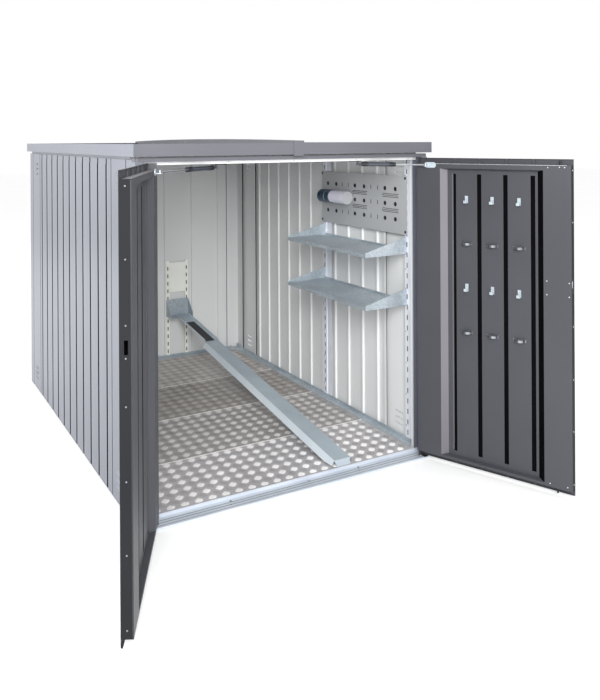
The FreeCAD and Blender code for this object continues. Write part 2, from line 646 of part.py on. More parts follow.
def door_skin():
    """The outer tray of a door: a grooved face with its hinge side and free side turned in."""
    plan = [(-DOOR_HEEL, DOOR_BACK - SHEET), (-DOOR_HEEL, DOOR_FACE)]
    for centre in door_grooves():
        plan.append((centre - GROOVE_TOP / 2, DOOR_FACE))
        plan.append((centre - GROOVE_FLOOR / 2, DOOR_FACE + SKIN_GROOVE_DEPTH))
        plan.append((centre + GROOVE_FLOOR / 2, DOOR_FACE + SKIN_GROOVE_DEPTH))
        plan.append((centre + GROOVE_TOP / 2, DOOR_FACE))
    plan += [(DOOR_REACH, DOOR_FACE), (DOOR_REACH, DOOR_BACK - SHEET)]
    placed = [(PIN_REACH - reach, PIN_Y + depth) for reach, depth in plan]
    skin = upright_prism(strip_outline(placed, SHEET), DOOR_BOTTOM, DOOR_TOP)
    for low, high in ((DOOR_BOTTOM - 1, DOOR_BOTTOM + EDGE_SHORT),
                      (DOOR_TOP - EDGE_SHORT, DOOR_TOP + 1)):
        skin = skin.cut(door_box(DOOR_REACH - 2, DOOR_REACH + 1, DOOR_FACE + 2 * SHEET, DOOR_BACK + 1,
                                 low, high))
    hems = []
    for z in (DOOR_BOTTOM, DOOR_TOP - SHEET):
        hems.append(door_box(-DOOR_HEEL, DOOR_REACH, DOOR_FACE, DOOR_FACE + 7, z, z + SHEET))
    return joined([skin] + hems)


def door_liner():
    """The inner face of a door: a margin round a pressed pan, with its head and foot turned outward."""
    low = DOOR_BOTTOM + EDGE_SHORT
    high = DOOR_TOP - EDGE_SHORT
    plate = door_box(-DOOR_HEEL, DOOR_REACH, DOOR_BACK - SHEET, DOOR_BACK, low, high)
    liner = plate.fuse(pan_solid(SHEET, DOOR_BACK - SHEET / 2, PAN_FLOOR - SHEET))
    for z in (low, high - SHEET):
        liner = liner.fuse(door_box(SHEET - DOOR_HEEL + 0.5, DOOR_REACH - SHEET - 0.5,
                                    DOOR_FACE + SHEET + SKIN_GROOVE_DEPTH + 0.8, DOOR_BACK, z, z + SHEET))
    low = PAN_LOW + PAN_SLOPE + PAN_GROOVE_MARGIN
    high = PAN_HIGH - PAN_SLOPE - PAN_GROOVE_MARGIN
    half = PAN_GROOVE_WIDTH / 2
    bed = PAN_FLOOR - PAN_GROOVE_DEPTH
    for centre in door_grooves():
        liner = liner.fuse(pan_groove(centre, half + SHEET, bed - SHEET, PAN_FLOOR - SHEET / 2,
                                      low - SHEET, high + SHEET))
    liner = liner.cut(pan_solid(0.0, DOOR_BACK + 1, PAN_FLOOR))
    for centre in door_grooves():
        liner = liner.cut(pan_groove(centre, half, bed, PAN_FLOOR + 0.2, low, high))
    return liner.removeSplitter()


def pan_groove(centre, half, bed, mouth, low, high):
    """The room of one groove of the pan: sloped sides, square ends."""
    outline = [(centre - half, mouth), (centre - half + PAN_GROOVE_SIDE, bed),
               (centre + half - PAN_GROOVE_SIDE, bed), (centre + half, mouth)]
    return upright_prism([(PIN_REACH - reach, PIN_Y + depth) for reach, depth in outline], low, high)


def pan_solid(grow, top, floor):
    """The room of a door's pressed pan, from its mouth at one depth to its floor at another."""
    def rim(near, far, low, high, depth):
        corners = [door_point(near, depth, low), door_point(far, depth, low),
                   door_point(far, depth, high), door_point(near, depth, high)]
        return Part.makePolygon(corners + corners[:1])
    share = (top - PAN_FLOOR) / PAN_DEPTH
    mouth = rim(PAN_NEAR + PAN_SLOPE_NEAR * (1 - share) - grow,
                PAN_FAR - PAN_SLOPE_FREE * (1 - share) + grow,
                PAN_LOW + PAN_SLOPE * (1 - share) - grow, PAN_HIGH - PAN_SLOPE * (1 - share) + grow, top)
    share = (floor - PAN_FLOOR) / PAN_DEPTH
    bed = rim(PAN_NEAR + PAN_SLOPE_NEAR * (1 - share) - grow, PAN_FAR - PAN_SLOPE_FREE * (1 - share) + grow,
              PAN_LOW + PAN_SLOPE * (1 - share) - grow, PAN_HIGH - PAN_SLOPE * (1 - share) + grow, floor)
    return Part.makeLoft([mouth, bed], True, True)


def door_leaf(height):
    """The door's half of a lift-off hinge: the upper knuckle and the leaf on the door's face."""
    low = height + HINGE_GAP / 2
    high = height + HINGE_TALL / 2
    knuckle = Part.makeCylinder(KNUCKLE / 2, high - low, door_point(0, 0, low))
    leaf = door_box(7, 7 + LEAF_WIDTH, DOOR_FACE - LEAF_SHEET, DOOR_FACE, height - HINGE_TALL / 2, high)
    arm = door_box(0, 8, DOOR_FACE - LEAF_SHEET - 1.2, DOOR_FACE - 1.2, low, high)
    bore = Part.makeCylinder(HINGE_BORE / 2, HINGE_TALL, door_point(0, 0, low - 1))
    return joined([knuckle, leaf, arm]).cut(bore)


def post_leaf(height):
    """The post's half of a hinge: the lower knuckle, its fixed pin and the leaf on the post's face."""
    low = height - HINGE_TALL / 2
    high = height - HINGE_GAP / 2
    knuckle = Part.makeCylinder(KNUCKLE / 2, high - low, Vector(PIN_REACH, PIN_Y, low))
    pin = Part.makeCylinder(HINGE_PIN / 2, HINGE_TALL - 2, Vector(PIN_REACH, PIN_Y, low))
    leaf = box(JAMB + 2, JAMB + 2 + LEAF_WIDTH, FRONT - LEAF_SHEET, FRONT, low, height + HINGE_TALL / 2)
    back = PIN_Y + KNUCKLE / 2 - 0.1
    arm = box(PIN_REACH, JAMB + 5, back - 2.4, back, low, high)
    foot = box(JAMB + 2, JAMB + 5, back - 2.4, FRONT, low, high)
    return joined([knuckle, pin, arm, foot, leaf])


def strut_bracket():
    """The oval bracket on a door's inner face, with a tab that carries the strut's stud."""
    low = STUD_HEIGHT - EYE_TALL / 2 - 3
    plate = door_box(STUD_REACH - 11.5, STUD_REACH + 44, DOOR_BACK, DOOR_BACK + 2.5, low - 6,
                     STUD_HEIGHT + 12)
    corners = [e for e in plate.Edges if abs(e.BoundBox.YLength - 2.5) < 0.01]
    plate = plate.makeFillet(12, corners)
    tab = door_box(STUD_REACH - 9, STUD_REACH + 9, DOOR_BACK, STUD_DEPTH, low, low + 2.5)
    tip = Part.makeCylinder(9, 2.5, door_point(STUD_REACH, STUD_DEPTH, low))
    stud = Part.makeCylinder(STUD / 2, EYE_TALL + 4, door_point(STUD_REACH, STUD_DEPTH, low + 1))
    head = Part.makeCylinder(STUD / 2 + 1.5, 1.5, door_point(STUD_REACH, STUD_DEPTH,
                                                             STUD_HEIGHT + EYE_TALL / 2 + 0.3))
    return joined([plate, tab, tip, stud, head])


def strut(side):
    """A gas strut at rest: rod with its eye on the door's stud, tube with its end under the lintel."""
    stud = Part.Vertex(door_point(STUD_REACH, STUD_DEPTH, STUD_HEIGHT))
    start = opened(stud, side).Point
    end = Vector(side * STRUT_ANCHOR_X, FRONT + STRUT_ANCHOR_Y, STRUT_ANCHOR_HEIGHT)
    run = end.sub(start).normalize()
    eye = Part.makeCylinder(EYE / 2, EYE_TALL, start.sub(Vector(0, 0, EYE_TALL / 2)))
    bore = Part.makeCylinder(EYE_BORE / 2, EYE_TALL + 2, start.sub(Vector(0, 0, EYE_TALL / 2 + 1)))
    mouth = end.sub(Vector(run).multiply(STRUT_TUBE_LENGTH))
    inside = mouth.add(Vector(run).multiply(STRUT_OVERLAP))
    deep = mouth.add(Vector(run).multiply(STRUT_TUBE_LENGTH - STRUT_END - 6))
    bar = rod_between(start.add(Vector(run).multiply(EYE / 2 - 1.5)), inside, STRUT_ROD / 2 - 0.5)
    rod = joined([eye, bar]).cut(bore)
    tail = end.sub(Vector(run).multiply(STRUT_END))
    tube = rod_between(mouth, tail, STRUT_TUBE / 2)
    hollow = rod_between(mouth.sub(Vector(run)), deep, STRUT_ROD / 2 - 0.45)
    neck = rod_between(tail.sub(run), end, STRUT_ROD / 2)
    ball = Part.makeCylinder(6, 9, end.sub(Vector(0, 0, 4.5)))
    plate_low = LINER_BOTTOM - ANCHOR_PLATE
    pin = Part.makeCylinder(3, plate_low - ANCHOR_GAP - end.z, end)
    barrel = joined([tube, neck, ball, pin]).cut(hollow)
    return rod, barrel


def lock_case():
    """The pressed lock case in the right door, open where the rods, bolt and spindle pass."""
    top = LOCK_HEIGHT + 36
    low = LOCK_HEIGHT - 36
    near = LOCK_REACH - 28
    far = LOCK_REACH + 45
    front = DOOR_FACE + SHEET + 3
    back = DOOR_BACK - SHEET - 1.5
    wall = 1.5
    case = door_box(near, far, front, back + 0.1, low, top)
    room = door_box(near + wall, far - wall, front + wall, back - wall, low + wall, top - wall)
    plate = door_box(LOCK_REACH - LOCK_SCREW_REACH - 6, DOOR_REACH - 3, back, back + wall,
                     LOCK_HEIGHT - LOCK_SCREW_RISE - 8, LOCK_HEIGHT + LOCK_SCREW_RISE + 8)
    case = case.cut(room).fuse(plate)
    upper = upper_rod_reach()
    lower = lower_rod_reach()
    gap = ROD / 2 + 1.5
    case = case.cut(door_box(upper - gap, upper + gap, ROD_DEPTH - gap, ROD_DEPTH + gap, top - 3, top + 1))
    case = case.cut(door_box(lower - gap, lower + gap, ROD_DEPTH - gap, ROD_DEPTH + gap, low - 1, low + 3))
    bolt = door_box(far - 3, far + 1, BOLT_DEPTH - BOLT_THICK / 2 - 1, BOLT_DEPTH + BOLT_THICK / 2 + 1,
                    BOLT_HEIGHT - BOLT_TALL / 2 - 1, BOLT_HEIGHT + BOLT_TALL / 2 + 1)
    spindle = Part.makeCylinder(SPINDLE * 0.8, 12, door_point(LOCK_REACH, front - 1, LOCK_HEIGHT),
                                Vector(0, 1, 0))
    return case.cut(bolt).cut(spindle).removeSplitter()


def bolt_depth():
    """Depth of the near face of the bolt's bar, just before the cam."""
    return ROD_DEPTH - 11.5


def lock_parts():
    """Handle with its spindle and cam, key plug, two rods with their guides, and the side bolt."""
    face = door_point(LOCK_REACH, DOOR_FACE, LOCK_HEIGHT)
    back = Vector(0, 1, 0)
    out = Vector(0, -1, 0)
    keep("handle_rose", opened(Part.makeCylinder(28, 4, face, out).cut(
        Part.makeCylinder(SPINDLE * 0.8, 6, face.add(back), out)), 1))

    hub_start = door_point(LOCK_REACH, DOOR_FACE - 4.3, LOCK_HEIGHT)
    hub = Part.makeCylinder(15, 14, hub_start, out)
    grip = door_box(LOCK_REACH - HANDLE_LENGTH / 2, LOCK_REACH + HANDLE_LENGTH / 2, DOOR_FACE - 32,
                    DOOR_FACE - 17, LOCK_HEIGHT - HANDLE_WIDTH / 2, LOCK_HEIGHT + HANDLE_WIDTH / 2)
    ends = [e for e in grip.Edges if abs(e.BoundBox.YLength - 15) < 0.01]
    grip = grip.makeFillet(HANDLE_WIDTH / 2 - 0.5, ends)
    rims = [e for e in grip.Edges if e.BoundBox.YMax < grip.BoundBox.YMin + 0.01]
    grip = grip.makeFillet(3, rims)
    half = SPINDLE / 2
    cam_front = ROD_DEPTH - 8
    spindle = door_box(LOCK_REACH - half, LOCK_REACH + half, DOOR_FACE - 6, cam_front + 1,
                       LOCK_HEIGHT - half, LOCK_HEIGHT + half)
    pocket = Part.makeCylinder(PLUG / 2, 14, door_point(LOCK_REACH, DOOR_FACE - 33, LOCK_HEIGHT), back)
    keep("twist_handle", opened(joined([hub, grip, spindle]).cut(pocket), 1))
    plug_face = door_point(LOCK_REACH, DOOR_FACE - 32.6, LOCK_HEIGHT)
    plug = Part.makeCylinder(PLUG / 2 - 0.05, 13.6, plug_face, back)
    keyway = door_box(LOCK_REACH - 0.8, LOCK_REACH + 0.8, DOOR_FACE - 33, DOOR_FACE - 27,
                      LOCK_HEIGHT - 3.5, LOCK_HEIGHT + 3.5)
    keep("key_plug", opened(plug.cut(keyway), 1))

    disc = Part.makeCylinder(CAM_RADIUS + 5, 3, door_point(LOCK_REACH, cam_front, LOCK_HEIGHT), back)
    swing = math.radians(45)
    pins = []
    for angle, start, length in ((-swing, cam_front + 2.5, 5.5), (3 * swing, cam_front + 2.5, 5.5),
                                 (-3 * swing, cam_front - 4.0, 4.5)):
        centre = door_point(LOCK_REACH + CAM_RADIUS * math.cos(angle), start,
                            LOCK_HEIGHT + CAM_RADIUS * math.sin(angle))
        pins.append(Part.makeCylinder(CAM_PIN / 2, length, centre, back))
    keep("lock_cam", opened(joined([disc] + pins).cut(
        door_box(LOCK_REACH - half, LOCK_REACH + half, cam_front - 1, cam_front + 1, LOCK_HEIGHT - half,
                 LOCK_HEIGHT + half)), 1))

    plate_front = ROD_DEPTH - ROD / 2
    slot_half = CAM_PIN / 2 + CAM_CLEARANCE
    for name, reach, sign in (("upper_rod", upper_rod_reach(), 1), ("lower_rod", lower_rod_reach(), -1)):
        pin_z = LOCK_HEIGHT - sign * LOCK_THROW / 2
        end = DOOR_TOP - ROD_END_GAP if sign > 0 else DOOR_BOTTOM + ROD_END_GAP
        start_z = pin_z + sign * 22
        z0, z1 = sorted((start_z, end))
        bar = Part.makeCylinder(ROD / 2, z1 - z0, door_point(reach, ROD_DEPTH, z0))
        p0, p1 = sorted((pin_z - sign * 9, start_z + sign * 4))
        plate = door_box(reach - 7, reach + 7, plate_front, plate_front + 3, p0, p1)
        slot = door_box(reach - slot_half - 1.6, reach + slot_half + 1.6, plate_front - 1, plate_front + 4,
                        pin_z - slot_half, pin_z + slot_half)
        keep(name, opened(joined([bar, plate]).cut(slot), 1))

    near = bolt_depth()
    far = LOCK_REACH + 18
    low_z = LOCK_HEIGHT - CAM_RADIUS - 6
    top_z = BOLT_HEIGHT + BOLT_TALL / 2
    fork_reach = LOCK_REACH - LOCK_THROW / 2
    back_face = BOLT_DEPTH + BOLT_THICK / 2
    bar = door_box(fork_reach - 8, far + 8, near, near + 3, low_z, low_z + 5)
    riser = door_box(far, far + 8, near, back_face, low_z, top_z)
    head = door_box(far, DOOR_REACH - 2, back_face - BOLT_THICK, back_face, top_z - BOLT_TALL, top_z)
    fork = door_box(fork_reach - 8, fork_reach + 8, near, near + 3, low_z, LOCK_HEIGHT - SPINDLE * 0.75)
    gap = door_box(fork_reach - slot_half, fork_reach + slot_half, near - 1, near + 4,
                   low_z + 2.5, LOCK_HEIGHT)
    keep("side_bolt", opened(joined([bar, riser, head, fork]).cut(gap), 1))

    guides = []
    for reach, z in ((upper_rod_reach(), DOOR_TOP - 60), (lower_rod_reach(), DOOR_BOTTOM + 60)):
        block = door_box(reach - 9, reach + 9, ROD_DEPTH - 7, DOOR_BACK - SHEET, z - 8, z + 8)
        bore = Part.makeCylinder(ROD / 2 + 0.1, 20, door_point(reach, ROD_DEPTH, z - 10))
        guides.append(opened(block.cut(bore), 1))
    keep("rod_guides", *guides)


def tool_hooks(rows):
    """Square hooks for tools on the pan floor of the right door, three to a row."""
    face = PAN_FLOOR
    hooks = []
    for z in rows:
        for reach in holder_columns():
            side = [(face, z + 16), (face, z - 16), (face + 20, z - 16), (face + 20, z - 4)]
            outline = [(PIN_Y + d, h) for d, h in strip_outline(side, -1.8)]
            hook = cross_prism(outline, PIN_REACH - reach - 7, PIN_REACH - reach + 7)
            hooks.append(opened(hook, 1))
    return hooks


def holder_rings(rows):
    """Half rings that stand out from the pan floor of the right door, three to a row."""
    face = PAN_FLOOR
    rings = []
    for z in rows:
        for reach in holder_columns():
            centre = door_point(reach, face + 1.5, z - 5)
            ring = Part.makeCylinder(23, 10, centre).cut(Part.makeCylinder(20.5, 10, centre))
            ring = ring.common(door_box(reach - 24, reach + 24, face, face + 30, z - 6, z + 6))
            foot = door_box(reach - 27, reach + 27, face, face + 1.5, z - 7, z + 7)
            rings.append(opened(joined([ring, foot]), 1))
    return rings


def holder_columns():
    """Reach of the hooks and rings: on the lands between the pan's grooves."""
    return [reach + PAN_GROOVE_PITCH / 2 for reach in door_grooves()[:-1]]


def doors():
    """Both doors, their hinges, strut brackets and struts, and the lock in the right one."""
    skin = door_skin()
    liner = door_liner()
    edge = (DOOR_REACH - 2, DOOR_REACH + 1)
    keeper = door_box(*edge, BOLT_DEPTH - 6, BOLT_DEPTH + 6, BOLT_HEIGHT - KEEPER_TALL / 2,
                      BOLT_HEIGHT + KEEPER_TALL / 2)
    latch = door_box(*edge, BOLT_DEPTH - 14, BOLT_DEPTH + 12, BOLT_HEIGHT - LATCH_BELOW,
                     BOLT_HEIGHT + LATCH_ABOVE)
    spindle = Part.makeCylinder(SPINDLE * 0.8, 6, door_point(LOCK_REACH, DOOR_FACE - 2, LOCK_HEIGHT),
                                Vector(0, 1, 0))
    keep("door_skin_right", opened(skin.cut(latch).cut(spindle), 1))
    keep("door_skin_left", opened(skin.cut(keeper), -1))
    rods = []
    for reach, z in ((upper_rod_reach(), DOOR_TOP - EDGE_SHORT),
                     (lower_rod_reach(), DOOR_BOTTOM + EDGE_SHORT)):
        rods.append(Part.makeCylinder(ROD / 2 + 1.5, 6, door_point(reach, ROD_DEPTH, z - 3)))
    keep("door_liner_right", opened(liner.cut(rods[0]).cut(rods[1]), 1))
    keep("door_liner_left", opened(liner, -1))
    for side, name in ((1, "right"), (-1, "left")):
        keep("hinge_leaves_" + name, *[opened(door_leaf(h), side) for h in HINGE_HEIGHTS])
        keep("strut_bracket_" + name, opened(strut_bracket(), side))
        rod, barrel = strut(side)
        keep("strut_rod_" + name, rod)
        keep("strut_tube_" + name, barrel)
    leaves = [post_leaf(h) for h in HINGE_HEIGHTS]
    keep("post_hinges", *leaves, *[mirrored(leaf) for leaf in leaves])
    keep("lock_case", opened(lock_case(), 1))
    lock_parts()
    keep("tool_hooks", *tool_hooks([DOOR_TOP - drop for drop in HOOK_DROPS]))
    keep("holder_rings", *holder_rings([DOOR_TOP - drop for drop in RING_DROPS]))


def slotted_upright(centre):
    """A shelf upright on the right wall: a slotted channel with a plain flange towards the front."""
    y0 = FRONT + centre - UPRIGHT_WIDTH / 2
    y1 = y0 + UPRIGHT_WIDTH
    back = SIDE - JOINT_DEPTH - SHEET - 0.3
    plan = [(back - UPRIGHT_SHEET, y0 - UPRIGHT_FLANGE), (back - UPRIGHT_SHEET, y0), (UPRIGHT_FACE, y0),
            (UPRIGHT_FACE, y1), (back, y1)]
    foot = RAIL_UPSTAND
    top = EAVES_BOTTOM
    shape = upright_prism(strip_outline(plan, UPRIGHT_SHEET), foot, top)
    count = int((top - foot) // SLOT_PITCH)
    slots = []
    for index in range(count):
        z = foot + SLOT_PITCH * (index + 0.5)
        slots.append(box(UPRIGHT_FACE - 1, UPRIGHT_FACE + UPRIGHT_SHEET + 1, FRONT + centre - SLOT_WIDE / 2,
                         FRONT + centre + SLOT_WIDE / 2, z - SLOT_TALL / 2, z + SLOT_TALL / 2))
    return shape.cut(Part.makeCompound(slots))


def shelf(height):
    """A shelf tray with a turned-down front lip between two tapered brackets on the uprights."""
    y0 = FRONT + UPRIGHT_FACES[0] + 4
    y1 = FRONT + UPRIGHT_FACES[1] - 4
    front = UPRIGHT_FACE - SHELF_DEPTH
    rear = UPRIGHT_FACE - 0.3 - SHELF_SHEET
    tray = [(front + 12, height - SHELF_LIP), (front, height - SHELF_LIP), (front, height),
            (rear, height), (rear, height + 10)]
    pieces = [long_prism(strip_outline(tray, SHELF_SHEET), y0, y1)]
    side = [(front, height - SHELF_LIP), (front, height + 5), (UPRIGHT_FACE - 0.3, height + BRACKET_RISE),
            (UPRIGHT_FACE - 0.3, height - SHELF_LIP)]
    for y in (y0 - SHELF_SHEET, y1):
        pieces.append(long_prism(side, y, y + SHELF_SHEET))
    return joined(pieces)


def tool_panel():
    """A perforated steel panel across both uprights, its edges turned back to them."""
    y0 = FRONT + UPRIGHT_FACES[0] - UPRIGHT_WIDTH / 2 + 11
    y1 = FRONT + UPRIGHT_FACES[1] + TOOL_PANEL_OVERHANG
    face = UPRIGHT_FACE - TOOL_PANEL_STAND
    side = [(UPRIGHT_FACE, TOOL_PANEL_LOW), (face, TOOL_PANEL_LOW), (face, TOOL_PANEL_HIGH),
            (UPRIGHT_FACE, TOOL_PANEL_HIGH)]
    panel = long_prism(strip_outline(side, SHEET), y0, y1)
    cuts = []
    for pair in range(3):
        for row in range(TOOL_ROWS):
            z = TOOL_PANEL_MIDDLE + TOOL_ROW_PITCH * (row - (TOOL_ROWS - 1) / 2)
            y = FRONT + TOOL_HOLE_FIRST + TOOL_PAIR_PITCH * pair
            for hole in range(2):
                start = Vector(face - 1, y + TOOL_PAIR_GAP * hole, z)
                cuts.append(Part.makeCylinder(TOOL_HOLE / 2, 4, start, Vector(1, 0, 0)))
                slit = y + TOOL_PAIR_GAP + 60 + 56 * hole
                if pair < 2:
                    cuts.append(box(face - 1, face + 3, slit - 2.5, slit + 2.5, z - 11, z + 11))
    return panel.cut(Part.makeCompound(cuts))


def interior():
    """Uprights, shelves, tool panel and storage tube on the right wall."""
    keep("wall_uprights", *[slotted_upright(centre) for centre in UPRIGHT_FACES])
    keep("shelf_upper", shelf(TOOL_PANEL_LOW - SHELF_DROPS[0]))
    keep("shelf_lower", shelf(TOOL_PANEL_LOW - SHELF_DROPS[1]))
    keep("tool_panel", tool_panel())
    radius = TUBE_WIDTH / 2
    along = Vector(0, 1, 0)
    start = Vector(UPRIGHT_FACE - TOOL_PANEL_STAND - radius - 0.3, FRONT + TUBE_FRONT, TOOL_PANEL_MIDDLE + 8)
    join = start.add(Vector(0, TUBE_LENGTH, 0))
    band = join.add(Vector(0, TUBE_BAND_START, 0))
    body = Part.makeCylinder(radius - 2, TUBE_LENGTH, start, along)
    cap = Part.makeCylinder(radius, TUBE_CAP_LENGTH, join, along)
    groove = Part.makeCylinder(radius + 1, TUBE_BAND, band, along)
    core = Part.makeCylinder(radius - 1.5, TUBE_BAND, band, along)
    keep("storage_tube", body)
    keep("tube_cap", cap.cut(groove.cut(core)))


def ramp_top_height(y):
    """Height of the ramp's top face at a distance from the front."""
    start = SILL_TOP + RAMP_SIDE_DROP + 2.5
    share = (y - RAMP_FRONT_Y) / (RAMP_REAR_Y - RAMP_FRONT_Y)
    return start + (RAMP_REAR_HEIGHT - start) * share


def ramp_parts():
    """The sloping wheel ramp, its grip pad, and the rails, bracket and wheel plate on the rear wall."""
    half = RAMP_TOP / 2
    out = half + RAMP_SIDE_RUN
    section = [(-out, -RAMP_SIDE_DROP), (-half, 0), (half, 0), (out, -RAMP_SIDE_DROP)]
    run = RAMP_REAR_Y - RAMP_FRONT_Y
    slope = math.atan2(RAMP_REAR_HEIGHT - ramp_top_height(RAMP_FRONT_Y), run)
    length = run / math.cos(slope)
    placed = FreeCAD.Placement(Vector(RAMP_X, FRONT + RAMP_FRONT_Y, ramp_top_height(RAMP_FRONT_Y)),
                               FreeCAD.Rotation(Vector(1, 0, 0), math.degrees(slope)))
    pieces = [long_prism(strip_outline(section, RAMP_SHEET), 0, RAMP_SIDES_END)]
    pieces.append(box(-half, half, RAMP_SIDES_END, length, -RAMP_SHEET, 0))
    for side in (-1, 1):
        x0, x1 = sorted((side * half, side * (half - RAMP_SHEET)))
        pieces.append(box(x0, x1, RAMP_SIDES_END, length, -RAMP_SHEET, RAMP_RIM))
    bend = [(-TONGUE_RUN, -RAMP_SIDE_DROP), (0, 0), (RAMP_SHEET, 0)]
    tongue = cross_prism(strip_outline(bend, RAMP_SHEET), -half, half)
    for side in (-1, 1):
        beside = [(side * TONGUE_FOOT / 2, -TONGUE_RUN - 2), (side * half, 0), (side * out, 0),
                  (side * out, -TONGUE_RUN - 2)]
        tongue = tongue.cut(upright_prism(beside, -2 * RAMP_SIDE_DROP, RAMP_SHEET))
    ramp = joined(pieces + [tongue])
    ramp.Placement = placed
    keep("bike_ramp", ramp)
    top = length - PAD_FROM_TOP
    pad = box(-PAD_WIDTH / 2 - PAD_SIDE, PAD_WIDTH / 2 - PAD_SIDE, top - PAD_LENGTH, top, 0, 3)
    pad.Placement = placed
    keep("grip_pad", pad)

    crest = BACK - RIB_CREST - 0.3
    rails = []
    for side in (-1, 1):
        centre = REAR_MOUNT_X + side * REAR_RAIL_SPREAD / 2
        x0 = centre - REAR_RAIL_WIDTH / 2
        x1 = centre + REAR_RAIL_WIDTH / 2
        plan = [(x1, crest), (x1, crest - 8.5), (x0, crest - 8.5), (x0, crest)]
        rail = upright_prism(strip_outline(plan, UPRIGHT_SHEET), RAIL_UPSTAND, REAR_RAIL_TOP)
        slots = []
        for index in range(int((REAR_RAIL_TOP - RAIL_UPSTAND) // SLOT_PITCH)):
            z = RAIL_UPSTAND + SLOT_PITCH * (index + 0.5)
            slots.append(box(centre - SLOT_WIDE / 2, centre + SLOT_WIDE / 2, crest - 10, crest - 6,
                             z - SLOT_TALL / 2, z + SLOT_TALL / 2))
        rails.append(rail.cut(Part.makeCompound(slots)))
    keep("ramp_rails", *rails)

    face = crest - 8.5
    wide = REAR_RAIL_SPREAD / 2 + REAR_RAIL_WIDTH / 2
    inner = wide - REAR_RAIL_WIDTH + 4
    plate = [(REAR_MOUNT_X - inner, face - 0.3), (REAR_MOUNT_X - inner + 6, face - 4),
             (REAR_MOUNT_X + inner - 6, face - 4), (REAR_MOUNT_X + inner, face - 0.3)]
    top = REAR_RAIL_TOP - WHEEL_PLATE_DROP
    keep("wheel_plate", upright_prism(plate, top - WHEEL_PLATE_TALL, top))

    seat = ramp_top_height(face - RAMP_SEAT_DEPTH - FRONT) - RAMP_SHEET - 0.5
    back_plate = box(REAR_MOUNT_X - wide, REAR_MOUNT_X + wide, face - 2.5, face, seat,
                     seat + RAMP_BRACKET_TALL)
    arms = []
    depth = RAMP_SEAT_DEPTH
    for side in (-1, 1):
        x0, x1 = sorted((REAR_MOUNT_X + side * wide, REAR_MOUNT_X + side * (wide - 2.5)))
        outline = [(face - depth, seat), (face, seat), (face, seat + RAMP_BRACKET_TALL),
                   (face - depth, seat + RAMP_BRACKET_TOE)]
        arms.append(cross_prism(outline, x0, x1))
    tray = box(REAR_MOUNT_X - wide, REAR_MOUNT_X + wide, face - depth, face, seat - 2.5, seat)
    keep("ramp_bracket", joined([back_plate, tray] + arms))


walls()
front_frame()
roof()
base()
doors()
interior()
ramp_parts()

os.makedirs("parts", exist_ok=True)
for node, solid in NODES.items():
    solid.exportStep("parts/%s.step" % node)
print(len(NODES), "pieces")
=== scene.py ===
import json
import math

import bmesh
import bpy
from mathutils import Matrix, Vector


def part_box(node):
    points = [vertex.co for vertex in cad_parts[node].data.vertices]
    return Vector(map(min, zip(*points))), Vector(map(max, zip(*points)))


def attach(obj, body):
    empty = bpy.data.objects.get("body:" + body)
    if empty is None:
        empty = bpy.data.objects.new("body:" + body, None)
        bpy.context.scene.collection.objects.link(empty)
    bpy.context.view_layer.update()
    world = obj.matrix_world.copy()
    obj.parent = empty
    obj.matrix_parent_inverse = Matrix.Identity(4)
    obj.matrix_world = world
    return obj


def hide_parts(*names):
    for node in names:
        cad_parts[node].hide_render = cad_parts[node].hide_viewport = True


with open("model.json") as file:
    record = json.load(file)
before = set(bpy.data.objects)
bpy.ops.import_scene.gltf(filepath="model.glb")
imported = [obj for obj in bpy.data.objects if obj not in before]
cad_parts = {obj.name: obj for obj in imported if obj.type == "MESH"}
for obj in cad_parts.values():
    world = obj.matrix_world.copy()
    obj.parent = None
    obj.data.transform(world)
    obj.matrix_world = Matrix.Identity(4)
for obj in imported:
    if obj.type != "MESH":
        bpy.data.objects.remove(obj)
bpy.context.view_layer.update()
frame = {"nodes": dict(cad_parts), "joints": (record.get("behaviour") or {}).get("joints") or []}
nodes = frame["nodes"]

# Outer sheets: folded sheet steel, powder-coated dark metallic grey outside and plain white inside.
# The coat has a fine orange peel, a slow drift of tone over each sheet and a little flake. Deep in
# the pressed grooves a near-black paint is painted shade.


def colour(text):
    """The linear colour of an sRGB hex code."""
    parts = [int(text[i:i + 2], 16) / 255 for i in (1, 3, 5)]
    return [c / 12.92 if c <= 0.04045 else ((c + 0.055) / 1.055) ** 2.4 for c in parts] + [1.0]


def add(material, kind, **inputs):
    """A new shader node with the given settings: sockets by name with spaces as underscores."""
    new = material.node_tree.nodes.new(kind)
    for key, value in inputs.items():
        name = key.replace("_", " ")
        if name in new.inputs:
            new.inputs[name].default_value = value
        else:
            setattr(new, key, value)
    return new


